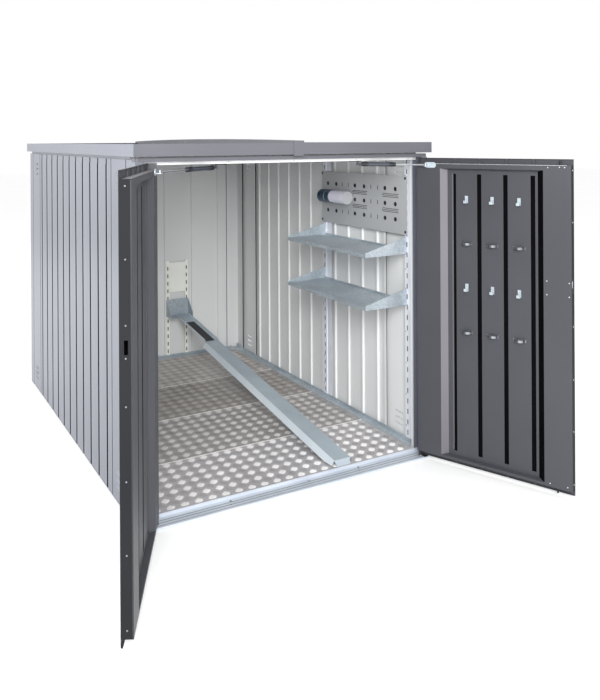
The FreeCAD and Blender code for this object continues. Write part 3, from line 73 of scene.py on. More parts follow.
def drifting(name, dark, light, rough, scale_mm, peel_mm, peel, metallic, **more):
    """A material whose tone drifts between two hex colours, over a fine bump."""
    material = bpy.data.materials.new(name)
    material.use_nodes = True
    link = material.node_tree.links.new
    shader = material.node_tree.nodes["Principled BSDF"]
    shader.inputs["Metallic"].default_value = metallic
    for key, value in more.items():
        shader.inputs[key.replace("_", " ")].default_value = value
    place = add(material, "ShaderNodeTexCoord")
    drift = add(material, "ShaderNodeTexNoise", Scale=1000 / scale_mm, Detail=3.0, Roughness=0.55)
    tone = add(material, "ShaderNodeValToRGB")
    tone.color_ramp.elements[0].position = 0.3
    tone.color_ramp.elements[1].position = 0.7
    tone.color_ramp.elements[0].color = colour(dark)
    tone.color_ramp.elements[1].color = colour(light)
    gloss = add(material, "ShaderNodeMapRange", To_Min=rough[0], To_Max=rough[1])
    grain = add(material, "ShaderNodeTexNoise", Scale=1000 / peel_mm, Detail=2.0)
    bump = add(material, "ShaderNodeBump", Strength=peel, Distance=0.0002)
    link(place.outputs["Object"], drift.inputs["Vector"])
    link(place.outputs["Object"], grain.inputs["Vector"])
    link(drift.outputs["Fac"], tone.inputs["Fac"])
    link(tone.outputs["Color"], shader.inputs["Base Color"])
    link(drift.outputs["Fac"], gloss.inputs["Value"])
    link(gloss.outputs["Result"], shader.inputs["Roughness"])
    link(grain.outputs["Fac"], bump.inputs["Height"])
    link(bump.outputs["Normal"], shader.inputs["Normal"])
    return material


def finish_nodes(material, *names):
    """One finish over whole CAD pieces."""
    for name in names:
        nodes[name].data.materials.clear()
        nodes[name].data.materials.append(material)


def finish_two(outside, inside, is_inside, *names):
    """Two finishes on one CAD piece, told apart by each face's centre and normal."""
    for name in names:
        mesh = nodes[name].data
        mesh.materials.clear()
        mesh.materials.append(outside)
        mesh.materials.append(inside)
        for face in mesh.polygons:
            face.material_index = int(is_inside(face.center, face.normal))


def repaint(paint, is_chosen, *names):
    """Another finish for some faces, such as the painted shade deep in a sheet's grooves."""
    for name in names:
        mesh = nodes[name].data
        mesh.materials.append(paint)
        for face in mesh.polygons:
            if is_chosen(face.center, face.normal):
                face.material_index = len(mesh.materials) - 1


grey_paint = drifting("metallic_grey_paint", "#6A6E79", "#727681", (0.34, 0.42), 900, 1.4, 0.10, 0.35,
                      Coat_Weight=0.2, Coat_Roughness=0.2)
shade_paint = drifting("near_black_painted_shade", "#0E0F12", "#131417", (0.8, 0.9), 300, 1.4, 0.10, 0.0,
                       Specular_IOR_Level=0.0)
white_paint = drifting("white_inner_paint", "#D6D7D7", "#DDDEDE", (0.36, 0.44), 700, 1.6, 0.08, 0.0)
wall_inner_x, wall_groove_x, wall_end_y = 0.690, 0.7055, 0.985
rear_groove_y = 0.9885
jamb_y = -0.9288


def faces_in(c, n):
    """Whether a face of a side sheet looks into the cabin."""
    return n.x * (1 if c.x < 0 else -1) > 0.2


def in_groove(c, n):
    """Whether a face is the bed or a flank of an outer groove in a side sheet."""
    sunk = wall_inner_x < abs(c.x) < wall_groove_x and abs(c.y) < wall_end_y
    return sunk and (n.x * c.x > 0.1 or max(abs(n.x), abs(n.z)) < 0.1)


finish_two(grey_paint, white_paint, faces_in, "side_wall_left", "side_wall_right", "vent_panels")
finish_two(grey_paint, white_paint, lambda c, n: n.y < -0.2, "rear_wall")
finish_two(grey_paint, white_paint, lambda c, n: faces_in(c, n) or n.y < -0.2, "rear_posts")
finish_two(grey_paint, white_paint, lambda c, n: c.y > jamb_y and (n.y < -0.2 or n.x * c.x < -0.01),
           "front_post_left", "front_post_right")
# Painted shade: near-black paint on the beds and flanks of the outer grooves, and in the rear wall's
# grooves.
repaint(shade_paint, in_groove, "side_wall_left", "side_wall_right", "vent_panels", "front_post_left",
        "front_post_right", "rear_posts")
repaint(shade_paint, lambda c, n: n.y > 0.1 and c.y < rear_groove_y, "rear_wall")

# Beside each pressed groove of the side walls lie two flat strips 0.2 mm proud of the sheet: a
# near-black one behind it is painted shade, and a light one in front of it is a painted highlight.
painted_highlight_paint = drifting("painted_highlight_on_folds", "#A4A8B2", "#ACB0BA", (0.34, 0.42), 900, 1.4, 0.10, 0.2)


def piece(name, bm, body, slot, *materials):
    """A new object of the given mesh that moves with a body."""
    mesh = bpy.data.meshes.new(name)
    bm.to_mesh(mesh)
    bm.free()
    for material in materials:
        mesh.materials.append(material)
    made = bpy.data.objects.new(name, mesh)
    bpy.context.scene.collection.objects.link(made)
    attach(made, body)
    return made


def block(bm, low, high, turn=None):
    """Adds a box between two corners, in millimetres, to a mesh."""
    made = bmesh.ops.create_cube(bm, size=1.0)["verts"]
    size = Matrix.Diagonal([(h - l) / 1000 for l, h in zip(low, high)] + [1.0])
    middle = Matrix.Translation([(l + h) / 2000 for l, h in zip(low, high)])
    bmesh.ops.transform(bm, matrix=(turn or Matrix()) @ middle @ size, verts=made)
    return made


wall_low, wall_high = [corner * 1000 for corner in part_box("side_wall_left")]
groove_count, groove_pitch, proud = 11, 127, 0.2
first_groove = wall_low.y + 83
foot, top = wall_low.z + 5, wall_high.z - 25
painted_shade_strips = bmesh.new()
painted_highlight_strips = bmesh.new()
# Painted shade and painted highlight: flat strips beside each groove.
for side in (-1, 1):
    x0, x1 = sorted((side * (wall_low.x - proud), side * (wall_low.x + proud)))
    for groove in range(groove_count):
        y = first_groove + groove_pitch * groove
        block(painted_shade_strips, (x0, y + 3, foot), (x1, y + 11.5, top))
        block(painted_highlight_strips, (x0, y - 10.5, foot), (x1, y - 7.5, top))
piece("painted_shade_by_grooves", painted_shade_strips, "cabin", "painted_steel", shade_paint)
piece("painted_highlight_by_grooves", painted_highlight_strips, "cabin", "painted_steel", painted_highlight_paint)

# Roof: cambered sheet panels with a smooth, glossy coat, white underneath, with a joint cover down the
# middle and a centre beam below. The front trim, the cover and the lintel have a flatter coat in a
# darker copy of the grey paint, which is painted shade. Near-black painted shade lies under the trim
# and the lintel where they meet, and on the left face of the cover's front leg at its joint.
roof_paint = drifting("roof_paint", "#70737A", "#787B82", (0.30, 0.38), 900, 1.4, 0.06, 0.2,
                      Coat_Weight=0.9, Coat_Roughness=0.12)
finish_two(roof_paint, white_paint, lambda c, n: n.z < -0.2, "roof_panel_left", "roof_panel_right")
finish_two(grey_paint, white_paint, lambda c, n: n.z < -0.2, "eaves_rails")
finish_nodes(grey_paint, "roof_trim_sides", "roof_trim_rear")
# Painted shade: a darker copy of the grey paint for the front trim, the cover and the lintel.
shaded_trim_paint = drifting("front_trim_shaded_copy", "#56575D", "#5E5F65", (0.40, 0.48), 900, 1.4, 0.08, 0.1,
                      Specular_IOR_Level=0.4)
finish_nodes(shaded_trim_paint, "roof_trim_front", "ridge_cover", "front_lintel")
lintel_back_y, fascia_y, ridge_half = -0.95, -1.0, 0.02
# Painted shade: near-black under the trim and the lintel, and on the side of the cover's front leg.
repaint(shade_paint, lambda c, n: n.z < -0.5 and c.y < lintel_back_y, "roof_trim_front", "front_lintel")
repaint(shade_paint, lambda c, n: n.x < -0.9 and c.x < -ridge_half and c.y < fascia_y, "ridge_cover")
finish_nodes(white_paint, "roof_beam")
liner_white = drifting("lintel_white", "#F2F2F3", "#F6F6F7", (0.36, 0.44), 700, 1.6, 0.08, 0.0)
finish_nodes(liner_white, "lintel_liner")

# Doors: a grooved sheet skin and a pressed liner, powder-coated satin charcoal and riveted at the free
# edge. Near-black painted shade lies in the grooves of the pan and the skin and on the pan's far slope.
# A lighter copy of the paint is a painted highlight on the right door's near slope and on the liners'
# heads, and a darker copy on the free edges is painted shade. A door is measured by reach from its
# hinge pin, depth into the cabin and height.
door_paint = drifting("door_grey_paint", "#3A3B40", "#424348", (0.44, 0.52), 800, 1.4, 0.10, 0.0,
                      Specular_IOR_Level=0.35)
pan_shade = drifting("door_painted_shade", "#09090B", "#0E0E10", (0.8, 0.9), 300, 1.4, 0.08, 0.0,
                     Specular_IOR_Level=0.0)
painted_highlight_slope = drifting("door_painted_highlight", "#5E5B61", "#67646A", (0.44, 0.52), 800, 1.4, 0.10, 0.0)
shaded_edge_paint = drifting("door_edge_shaded_copy", "#1B1C1F", "#202124", (0.6, 0.7), 800, 1.4, 0.10, 0.0,
                      Specular_IOR_Level=0.1)


def hung(name):
    """Takes reach, depth and height on a door to its open place in the cabin, in metres."""
    hinge = next(j for j in frame["joints"] if j["name"] == "door_%s_hinge" % name)
    opened = Matrix.Rotation(math.radians(-sum(hinge["range_deg"])), 4, "Z")
    side = math.copysign(1, hinge["pos_m"][0])
    return Matrix.Translation(hinge["pos_m"]) @ opened @ Matrix.Diagonal((-side, 1, 1, 1))


def on_door(place, test):
    """A test of a face by its centre and normal in the reach, depth and height of a door."""
    back = place.inverted()
    turn = back.to_3x3()
    return lambda c, n: test(back @ c, turn @ n)


left, right = hung("left"), hung("right")
groove_bed, skin_bed = 0.0215, 0.0065
pan_near, pan_far, pan_foot, pan_head = 0.14, 0.54, 0.06, 1.33
near_slope, far_slope, free_edge, liner_head = 0.16, 0.50, 0.660, 1.345
skin_near, skin_far = 0.1, 0.6
for name, place, near_paint in (("left", left, door_paint), ("right", right, painted_highlight_slope)):
    skin = "door_skin_" + name
    liner = "door_liner_" + name
    finish_nodes(door_paint, skin, liner)
    # Painted shade: near-black in the pan's grooves.
    repaint(pan_shade, on_door(place, lambda c, n: c.y < groove_bed and n.y > -0.5 and n.x > -0.3 and
                               pan_near < c.x < pan_far and pan_foot < c.z < pan_head), liner)
    # Painted highlight on the right door: a lighter copy on the near slope.
    repaint(near_paint, on_door(place, lambda c, n: c.x < near_slope and 0.2 < n.x < 0.95 and
                                n.y > 0.2), liner)
    # Painted highlight: a lighter copy on the liner's head.
    repaint(painted_highlight_slope, on_door(place, lambda c, n: c.z > liner_head and n.z > 0.9), liner)
    # Painted shade: near-black on the pan's far slope.
    repaint(pan_shade, on_door(place, lambda c, n: c.x > far_slope and -0.9 < n.x < -0.3 and
                               n.y > 0.3), liner)
    # Painted shade: near-black in the skin's grooves.
    repaint(pan_shade, on_door(place, lambda c, n: c.y > skin_bed and n.y < -0.2 and
                               skin_near < c.x < skin_far), skin)
    # Painted shade: a darker copy on the free edges.
    repaint(shaded_edge_paint, on_door(place, lambda c, n: c.x > free_edge and n.x > 0.7), skin, liner)

# Galvanised pieces: hot-dip galvanised mild steel, bolted or riveted on. The zinc is half matt, with a
# faint spangle and a soft drift of tone. The holder rings are darker drawn wire, and screws are bright.
zinc = drifting("galvanised_steel", "#A6B0B7", "#BCC6CD", (0.36, 0.48), 160, 0.9, 0.10, 0.45)
tree = zinc.node_tree
spangle = add(zinc, "ShaderNodeTexVoronoi", Scale=110.0)
mix = add(zinc, "ShaderNodeMix", data_type="RGBA", blend_type="OVERLAY")
mix.inputs["Factor"].default_value = 0.16
tone = next(n for n in tree.nodes if n.type == "VALTORGB")
place = next(n for n in tree.nodes if n.type == "TEX_COORD")
grey = add(zinc, "ShaderNodeRGBToBW")
tree.links.new(place.outputs["Object"], spangle.inputs["Vector"])
tree.links.new(spangle.outputs["Color"], grey.inputs["Color"])
tree.links.new(tone.outputs["Color"], mix.inputs[6])
tree.links.new(grey.outputs["Val"], mix.inputs[7])
tree.links.new(mix.outputs[2], tree.nodes["Principled BSDF"].inputs["Base Color"])
finish_nodes(zinc, "base_rails", "corner_brackets", "shelf_upper", "shelf_lower", "ramp_bracket",
             "strut_bracket_left", "strut_bracket_right", "side_bolt", "lock_cam", "lock_case",
             "post_hinges", "hinge_leaves_left", "hinge_leaves_right", "tool_hooks")
ring_steel = drifting("ring_steel", "#84878C", "#8E9196", (0.24, 0.32), 60, 0.8, 0.06, 0.9)
finish_nodes(ring_steel, "holder_rings")
# Bright zinc for screws, also used as painted highlight on the right liner's head and on the ramp's rim.
bright_zinc_and_highlight = drifting("bright_zinc_and_highlight", "#D5D9DC", "#E3E6E8", (0.28, 0.36), 60, 0.8, 0.06, 0.6)

# Tool panel: a punched steel sheet with a satin grey coat, held by a screw in each corner. Near-black
# discs cover its three rows of round holes, near-black blocks of painted shade stand behind the slits
# between them, and bands of short strokes run between the rows.
panel_paint = drifting("tool_panel_paint", "#B0B2B4", "#B9BBBD", (0.40, 0.48), 400, 1.2, 0.08, 0.2)
finish_nodes(panel_paint, "tool_panel")
black_plastic = drifting("black_plastic", "#141416", "#1C1C1F", (0.42, 0.55), 40, 0.7, 0.15, 0.0)


def head(bm, point, normal, radius, rise, turn=None):
    """Adds a domed screw head, in millimetres, standing on a point along a normal."""
    made = bmesh.ops.create_cone(bm, cap_ends=True, segments=14, radius1=radius / 1000,
                                 radius2=radius * 0.72 / 1000, depth=rise / 1000)["verts"]
    aim = Vector(normal).to_track_quat("Z", "Y").to_matrix().to_4x4()
    lift = Matrix.Translation((0, 0, rise / 2000 - 0.0001))
    spot = Matrix.Translation([c / 1000 for c in point])
    bmesh.ops.transform(bm, matrix=(turn or Matrix()) @ spot @ aim @ lift, verts=made)


panel_low, panel_high = [corner * 1000 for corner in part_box("tool_panel")]
panel_x = panel_low.x
panel_z = (panel_low.z + panel_high.z) / 2 + 2
hole_rows = [panel_z + lift for lift in (-74, 0, 74)]
pair_starts = (-785, -530, -275)
hole_gap, slit_gaps = 81, (141, 197)
stroke_count, stroke_long, stroke_tall, stroke_rows, row_pitch = 11, 7.5, 4, 3, 8
inward = (-1, 0, 0)
bm = bmesh.new()
for y in (-860, -138):
    for lift in (-129, 129):
        head(bm, (panel_x, y, panel_z + lift), inward, 7, 3)
for start in pair_starts:
    for z in hole_rows:
        head(bm, (panel_x, start, z), inward, 11.5, 0.8)
        head(bm, (panel_x, start + hole_gap, z), inward, 11.5, 0.8)
# Painted shade: near-black blocks behind the slits.
for start in pair_starts[:2]:
    for gap in slit_gaps:
        y = start + gap
        for z in hole_rows:
            block(bm, (panel_x + 0.3, y - 3.2, z - 15), (panel_x + 1.1, y + 3.2, z + 15))
for first, last in ((-812, -679), (-558, -426)):
    stroke_pitch = (last - first) / (stroke_count + 0.5)
    for lift in (-43, 30):
        for row in range(stroke_rows):
            z = panel_z + lift + row_pitch * row
            for stroke in range(stroke_count):
                y = first + stroke_pitch * (stroke + 0.5 * (row % 2) + 0.25)
                block(bm, (panel_x - 0.3, y, z), (panel_x + 0.2, y + stroke_long, z + stroke_tall))
piece("panel_hole_discs_and_slit_shades", bm, "cabin", "black_plastic", black_plastic)

# Slotted uprights: pressed from pale galvanised strip with a slot every 50 mm, and held to the wall by
# black screws. The ramp's rails have the same slots. A near-black matt block in each slot is painted
# shade.
upright_zinc = drifting("pale_upright_zinc", "#DDE0E8", "#E7EAF0", (0.34, 0.42), 120, 0.8, 0.06, 0.1)
finish_nodes(upright_zinc, "wall_uprights")
painted_slot_shade = drifting("painted_slot_shade", "#18191B", "#1F2022", (0.6, 0.7), 40, 0.7, 0.1, 0.0)
slot_pitch, slot_half, slot_rise = 50, 3.4, 11.9


def slot_heights(low, high):
    """Height of the middle of each slot between the ends of an upright, in millimetres."""
    return [low + slot_pitch * (index + 0.5) for index in range(int((high - low) / slot_pitch))]


upright_low, upright_high = [corner * 1000 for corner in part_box("wall_uprights")]
rail_low, rail_high = [corner * 1000 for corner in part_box("ramp_rails")]
# Painted shade: a near-black block inside each slot.
bm = bmesh.new()
for z in slot_heights(upright_low.z, upright_high.z):
    for y in (-866, -151):
        block(bm, (upright_low.x + 0.7, y - slot_half, z - slot_rise),
              (upright_low.x + 1.4, y + slot_half, z + slot_rise))
for z in slot_heights(rail_low.z, rail_high.z):
    for x in (176.5, 309.5):
        block(bm, (x - slot_half, rail_low.y + 0.6, z - slot_rise),
              (x + slot_half, rail_low.y + 1.3, z + slot_rise))
piece("slot_shades", bm, "cabin", "black_plastic", painted_slot_shade)
first_screw, screw_pitch, screw_count = 90, 150, 9
bm = bmesh.new()
for y in (-855, -140):
    for index in range(screw_count):
        head(bm, (upright_low.x, y, first_screw + screw_pitch * index), inward, 2.6, 1.2)
piece("upright_screws", bm, "cabin", "black_plastic", black_plastic)

# Floor: four tread plates of rolled steel laid on the base rails, each in its own tone of painted
# reflection, brightest by the doors. Groups of five raised bars lie on a 60 mm square grid along one
# diagonal in a lighter copy of the steel, a painted highlight, and as many between them along the
# other in a darker copy, painted shade.
seam_steel = drifting("seam_steel", "#E6E4E2", "#F0EEEC", (0.30, 0.40), 120, 2.5, 0.10, 0.4)
plate_reflection_tones = (("#BAB7B9", "#C6C3C5"), ("#AAA6A4", "#B6B2B0"),
               ("#9B9692", "#A8A39F"), ("#B5B0AC", "#C2BDB9"))
highlight_tones = (("#DEDCDB", "#ECEAE9"), ("#C6C3C1", "#D4D1CF"),
                ("#ABA6A2", "#B8B3AF"), ("#C4BFBB", "#D1CCC8"))
shade_tones = (("#A5A3A4", "#B3B1B2"), ("#9A9694", "#A6A2A0"),
              ("#918C88", "#9E9995"), ("#A8A29E", "#B5B0AC"))
bar_pitch, bar_half, bar_crest, bar_taper, bar_rise = 6.6, 2.6, 0.35, 2.2, 1.9
bar_reaches = (13.0, 15.5, 15.5, 15.5, 13.0)
bar_outline = ((-1, 0), (-0.82, -1), (0.82, -1), (1, 0), (0.82, 1), (-0.82, 1))
grid, grid_x, grid_y = 60, -7, -926
margin, reach_x, last_y = 20, 645, 945
floor_edge, floor_front, floor_back = 652, -941.5, 950
seam_wide, seam_rise, seam_inset = 6, 2, 40


def quintet(lean):
    """A mesh of five raised bars side by side, turned by some degrees about their middle."""
    bm = bmesh.new()
    for bar, reach in enumerate(bar_reaches):
        outline = [(x * reach, y * bar_half, 0) for x, y in bar_outline]
        foot = bm.faces.new([bm.verts.new(corner) for corner in outline])
        grown = bmesh.ops.extrude_face_region(bm, geom=[foot])["geom"]
        crest = [item for item in grown if isinstance(item, bmesh.types.BMVert)]
        bmesh.ops.scale(bm, vec=(1 - bar_taper / reach, bar_crest, 1), verts=crest)
        bmesh.ops.translate(bm, vec=(0, 0, bar_rise), verts=crest)
        bmesh.ops.translate(bm, vec=(0, (bar - 2) * bar_pitch, 0), verts=foot.verts[:] + crest)
        bmesh.ops.delete(bm, geom=[foot], context="FACES_ONLY")
    bmesh.ops.scale(bm, vec=(0.001, 0.001, 0.001), verts=bm.verts)
    bmesh.ops.rotate(bm, matrix=Matrix.Rotation(math.radians(lean), 3, "Z"), verts=bm.verts)
    mesh = bpy.data.meshes.new("quintet")
    bm.to_mesh(mesh)
    bm.free()
    return mesh


def set_material(verts, index):
    """Gives the faces at some vertices one of their mesh's materials."""
    for vert in verts:
        for face in vert.link_faces:
            face.material_index = index


def cut_off(bm, point, away):
    """Cuts off what lies beyond a plane through a point in millimetres, and returns the cut's edges."""
    everything = bm.verts[:] + bm.edges[:] + bm.faces[:]
    cut = bmesh.ops.bisect_plane(bm, geom=everything, plane_co=Vector(point) / 1000, plane_no=away,
                                 clear_outer=True)["geom_cut"]
    return [edge for edge in cut if isinstance(edge, bmesh.types.BMEdge)]


quintets = [quintet(-45), quintet(45)]
for index in range(4):
    number = index + 1
    # Painted reflection in each plate's tone; painted highlight and painted shade on the two sets of
    # bars.
    tread = drifting("tread_steel_%d" % number, *plate_reflection_tones[index], (0.30, 0.40), 120, 2.5, 0.15, 0.45)
    highlight_copy = drifting("painted_highlight_bars_%d" % number, *highlight_tones[index], (0.28, 0.36), 120, 2.5,
                        0.10, 0.4)
    shade_copy = drifting("painted_shade_bars_%d" % number, *shade_tones[index], (0.30, 0.40), 120, 2.5, 0.10, 0.5)
    finish_nodes(tread, "floor_plate_%d" % number)
    low, high = [corner * 1000 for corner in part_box("floor_plate_%d" % number)]
    bm = bmesh.new()
    for kind, shift in ((0, 0), (1, grid / 2)):
        for i in range(-11, 11):
            for j in range(32):
                spot = Vector((grid_x + grid * i + shift, grid_y + grid * j + shift, high.z))
                if abs(spot.x) < reach_x and low.y - margin < spot.y < min(high.y, last_y) + margin:
                    start = len(bm.verts)
                    bm.from_mesh(quintets[kind])
                    bm.verts.ensure_lookup_table()
                    bmesh.ops.translate(bm, vec=spot / 1000, verts=bm.verts[start:])
                    set_material(bm.verts[start:], kind + 1)
    cut_off(bm, (0, max(low.y, floor_front), 0), (0, -1, 0))
    cut_off(bm, (0, min(high.y, floor_back), 0), (0, 1, 0))
    cut_off(bm, (-floor_edge, 0, 0), (-1, 0, 0))
    cut_off(bm, (floor_edge, 0, 0), (1, 0, 0))
    if index < 3:
        seam = block(bm, (low.x + seam_inset, high.y - seam_wide, high.z),
                     (-low.x - seam_inset, high.y, high.z + seam_rise))
        set_material(seam, 3)
    piece("tread_%d" % number, bm, "cabin", "floor_steel", tread, highlight_copy, shade_copy, seam_steel)

# Sill: galvanised sheet bent over the front rail, with three rolled lines drawn as darker strips of
# painted shade, black screws in pairs along its tread and a black moulded cap at each end. Its back
# edge takes the first floor plate's paint, painted reflection included.
sill_zinc = drifting("sill_zinc", "#BCC3CD", "#CAD0D9", (0.32, 0.42), 160, 0.9, 0.08, 0.25)
finish_nodes(sill_zinc, "sill")
first_tread = nodes["floor_plate_1"].data.materials[0]
sill_low, sill_high = [corner * 1000 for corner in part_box("sill")]
lip_z = sill_high.z / 1000 - 0.0005
# The lip's top takes the first floor plate's paint, with its painted reflection.
repaint(first_tread, lambda c, n: c.z > lip_z and n.z > 0.9, "sill")
step_z = 9
line_half_length = 652
bm = bmesh.new()
for x, y, radius in ((-307, -969, 4.5), (-318, -994, 3), (323, -967, 4.5), (312, -992, 3)):
    head(bm, (x, y, step_z), (0, 0, 1), radius, 1.2)
piece("sill_screws", bm, "cabin", "black_plastic", black_plastic)
# Painted shade: darker strips along the sill's rolled lines.
fold_shade = drifting("fold_shade", "#7C858E", "#88919A", (0.5, 0.6), 60, 0.8, 0.05, 0.2)
bm = bmesh.new()
for y, half_width in ((-978, 2.6), (-995, 2.6), (-1014, 1.8)):
    block(bm, (-line_half_length, y - half_width, step_z - 0.4),
          (line_half_length, y + half_width, step_z + 0.25))
piece("sill_fold_shades", bm, "cabin", "galvanised_steel", fold_shade)
bm = bmesh.new()
for side in (-1, 1):
    x0, x1 = sorted((side * line_half_length, side * (sill_high.x + 1)))
    block(bm, (x0, sill_low.y + 1, 0.5), (x1, sill_low.y + 4, step_z + 0.5))
    block(bm, (x0, sill_low.y + 4, step_z), (x1, sill_low.y + 36, step_z + 1.2))
bmesh.ops.bevel(bm, geom=bm.edges[:], offset=0.0006, segments=2, profile=0.5, affect="EDGES", material=-1)
piece("sill_end_caps", bm, "cabin", "black_plastic", black_plastic)

# Lintel fittings: bright zinc-plated screws through the white strip, and the black anchors on which the
# gas struts turn. The anchors share their satin black paint with the handle and the rods of the lock.
black_steel = drifting("black_steel", "#1B1C1F", "#242529", (0.32, 0.42), 60, 0.8, 0.10, 0.4)
finish_nodes(black_steel, "strut_anchors", "handle_rose", "twist_handle", "upper_rod", "lower_rod")
liner_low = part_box("lintel_liner")[0] * 1000
bm = bmesh.new()
for x in (-626, -300, 10, 332, 626):
    head(bm, (x, liner_low.y, liner_low.z + 7), (0, -1, 0), 3.4, 1.6)
piece("lintel_screws", bm, "cabin", "galvanised_steel", bright_zinc_and_highlight)

# Door fasteners: rivets down the free edges, screws round the lock case and at the corners of the
# right door's inner margin, a bright strip on the rolled edge at its liner's head that is a painted
# highlight, and a black seal on the left door.
rivet_steel = drifting("rivet_steel", "#77797D", "#808286", (0.34, 0.44), 60, 0.8, 0.06, 0.3)
edge_reach, edge_depth, margin_depth, head_z = 668.5, 25, 44, 1352.2
rivet_heights = (1333, 1123, 702, 488, 278, 64)
latch_heights = (934, 840)
bm = bmesh.new()
for z in rivet_heights + latch_heights:
    head(bm, (edge_reach, edge_depth, z), (1, 0, 0), 2.8, 1.2, left)
piece("edge_rivets", bm, "door_left", "galvanised_steel", rivet_steel)
bm = bmesh.new()
for reach, z in ((571, 879), (659, 879), (571, 823), (659, 823), (577, 1344), (623, 1346), (643, 1345),
                 (580, 52), (649, 54)):
    head(bm, (reach, margin_depth, z), (0, 1, 0), 2.6, 1.2, right)
for z in rivet_heights:
    head(bm, (edge_reach, edge_depth, z), (1, 0, 0), 2.8, 1.2, right)
# Painted highlight: a bright strip along the rolled edge at the liner's head.
block(bm, (32, margin_depth - 0.6, head_z), (652, margin_depth + 0.4, head_z + 1.2), right)
bmesh.ops.recalc_face_normals(bm, faces=bm.faces[:])
piece("door_screws_and_highlight", bm, "door_right", "galvanised_steel", bright_zinc_and_highlight)
bm = bmesh.new()
block(bm, (edge_reach - 0.2, 40, 42), (edge_reach + 0.5, margin_depth - 0.2, 1350), left)
block(bm, (40, margin_depth - 0.4, head_z), (652, margin_depth + 0.4, head_z + 1.4), left)
bmesh.ops.recalc_face_normals(bm, faces=bm.faces[:])
piece("door_seal", bm, "door_left", "black_plastic", black_plastic)

# Gas struts: a smooth blue-grey pressure tube with a bright hard-chromed rod and pressed black sleeves.
# Each one turns on a stud at the door's head and on its anchor on the lintel.
strut_tube = drifting("strut_tube", "#3C4048", "#484C55", (0.22, 0.30), 60, 0.8, 0.05, 0.5)
strut_rod = drifting("strut_rod", "#A4A8AC", "#B8BCC0", (0.20, 0.28), 40, 0.6, 0.04, 1.0)
finish_nodes(strut_tube, "strut_tube_left", "strut_tube_right")
finish_nodes(strut_rod, "strut_rod_left", "strut_rod_right")
stud_place = Vector((0.045, 0.059, 1.347))
sleeve_radius, sleeve_round, round_length = 0.0098, 0.0016, 0.002
for side, name, place in ((-1, "left", left), (1, "right", right)):
    stud = place @ stud_place
    end = Vector((side * 0.350, -0.939, 1.353))
    run = (end - stud).normalized()
    aim = run.to_track_quat("Z", "Y")
    bm = bmesh.new()
    for back, length in ((0.172, 0.030), (0.048, 0.031)):
        spot = end - run * back
        outline = [(sleeve_radius - sleeve_round, 0), (sleeve_radius, round_length),
                   (sleeve_radius, length - round_length), (sleeve_radius - sleeve_round, length)]
        profile = [bm.verts.new(spot + aim @ Vector((radius, 0, z))) for radius, z in outline]
        edges = [bm.edges.new(pair) for pair in zip(profile, profile[1:])]
        bmesh.ops.spin(bm, geom=profile + edges, cent=spot, axis=run, angle=math.tau, steps=24,
                       use_merge=True)
    bmesh.ops.recalc_face_normals(bm, faces=bm.faces[:])
    piece("strut_sleeves_" + name, bm, "strut_tube_" + name, "black_steel", black_steel)

# Lock: turned brass for the key plug in the black handle, and moulded nylon for the guides that hold the
# two rods to the door.
brass = drifting("key_brass", "#A88F55", "#B89F66", (0.25, 0.35), 20, 0.6, 0.05, 0.9)
finish_nodes(brass, "key_plug")
finish_nodes(black_plastic, "rod_guides")

# Storage tube: a glossy pale plastic tube that hangs on the tool panel, with a grey front end and a
# moulded dark blue-green cap with a light band round it. Both are smooth, with clear highlights.
tube_body = drifting("tube_body", "#D6D6E4", "#DEDEEA", (0.22, 0.28), 200, 2.0, 0.02, 0.0)
tube_cap = drifting("tube_cap", "#123044", "#173A50", (0.25, 0.32), 90, 2.0, 0.03, 0.0)
finish_nodes(tube_body, "storage_tube")
repaint(panel_paint, lambda c, n: n.y < -0.9, "storage_tube")
band_start, band_end = -0.2575, -0.2505
finish_two(tube_cap, tube_body, lambda c, n: band_start < c.y < band_end and abs(n.y) < 0.5, "tube_cap")

# Wheel ramp: one folded sheet with steep sides, low upright rims beside the pad and a front tongue
# bent down to the sill. It leads a wheel up to the bracket on the rear wall. The flank and the rim that
# face the light have a lighter copy of the zinc, a painted highlight.
ramp_zinc = drifting("ramp_zinc", "#A6B2BB", "#B6C2CA", (0.32, 0.42), 160, 0.9, 0.08, 0.35)
lit_ramp_zinc = drifting("ramp_zinc_painted_highlight", "#D2DCE4", "#DDE6EC", (0.32, 0.42), 160, 0.9, 0.08, 0.2)
ramp_low, ramp_high = [corner * 1000 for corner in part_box("bike_ramp")]
ramp_x = (ramp_low.x + ramp_high.x) / 2
front_y, front_z, trim_z = ramp_low.y + 12, 46.5, 23.5
rear_z, ramp_run = 303, 1860
half, flank_run, flank_drop, rim_rise, sheet = 43, 14, 31, 8, 2
flanks_end = 1400
slope = math.atan2(rear_z - front_z, ramp_run)
ramp_length = ramp_run / math.cos(slope)
laid = Matrix.Translation(Vector((ramp_x, front_y, front_z)) / 1000) @ Matrix.Rotation(slope, 4, "X")


def folded(bm, line, start, stop):
    """Adds a sheet with lengthwise folds, given its cross-section's outer line in millimetres."""
    corners = [bm.verts.new((x / 1000, start / 1000, z / 1000)) for x, z in line]
    edges = [bm.edges.new(pair) for pair in zip(corners, corners[1:])]
    grown = bmesh.ops.extrude_edge_only(bm, edges=edges)["geom"]
    verts = [item for item in grown if isinstance(item, bmesh.types.BMVert)]
    faces = [item for item in grown if isinstance(item, bmesh.types.BMFace)]
    bmesh.ops.translate(bm, vec=(0, (stop - start) / 1000, 0), verts=verts)
    bmesh.ops.solidify(bm, geom=faces, thickness=-sheet / 1000)


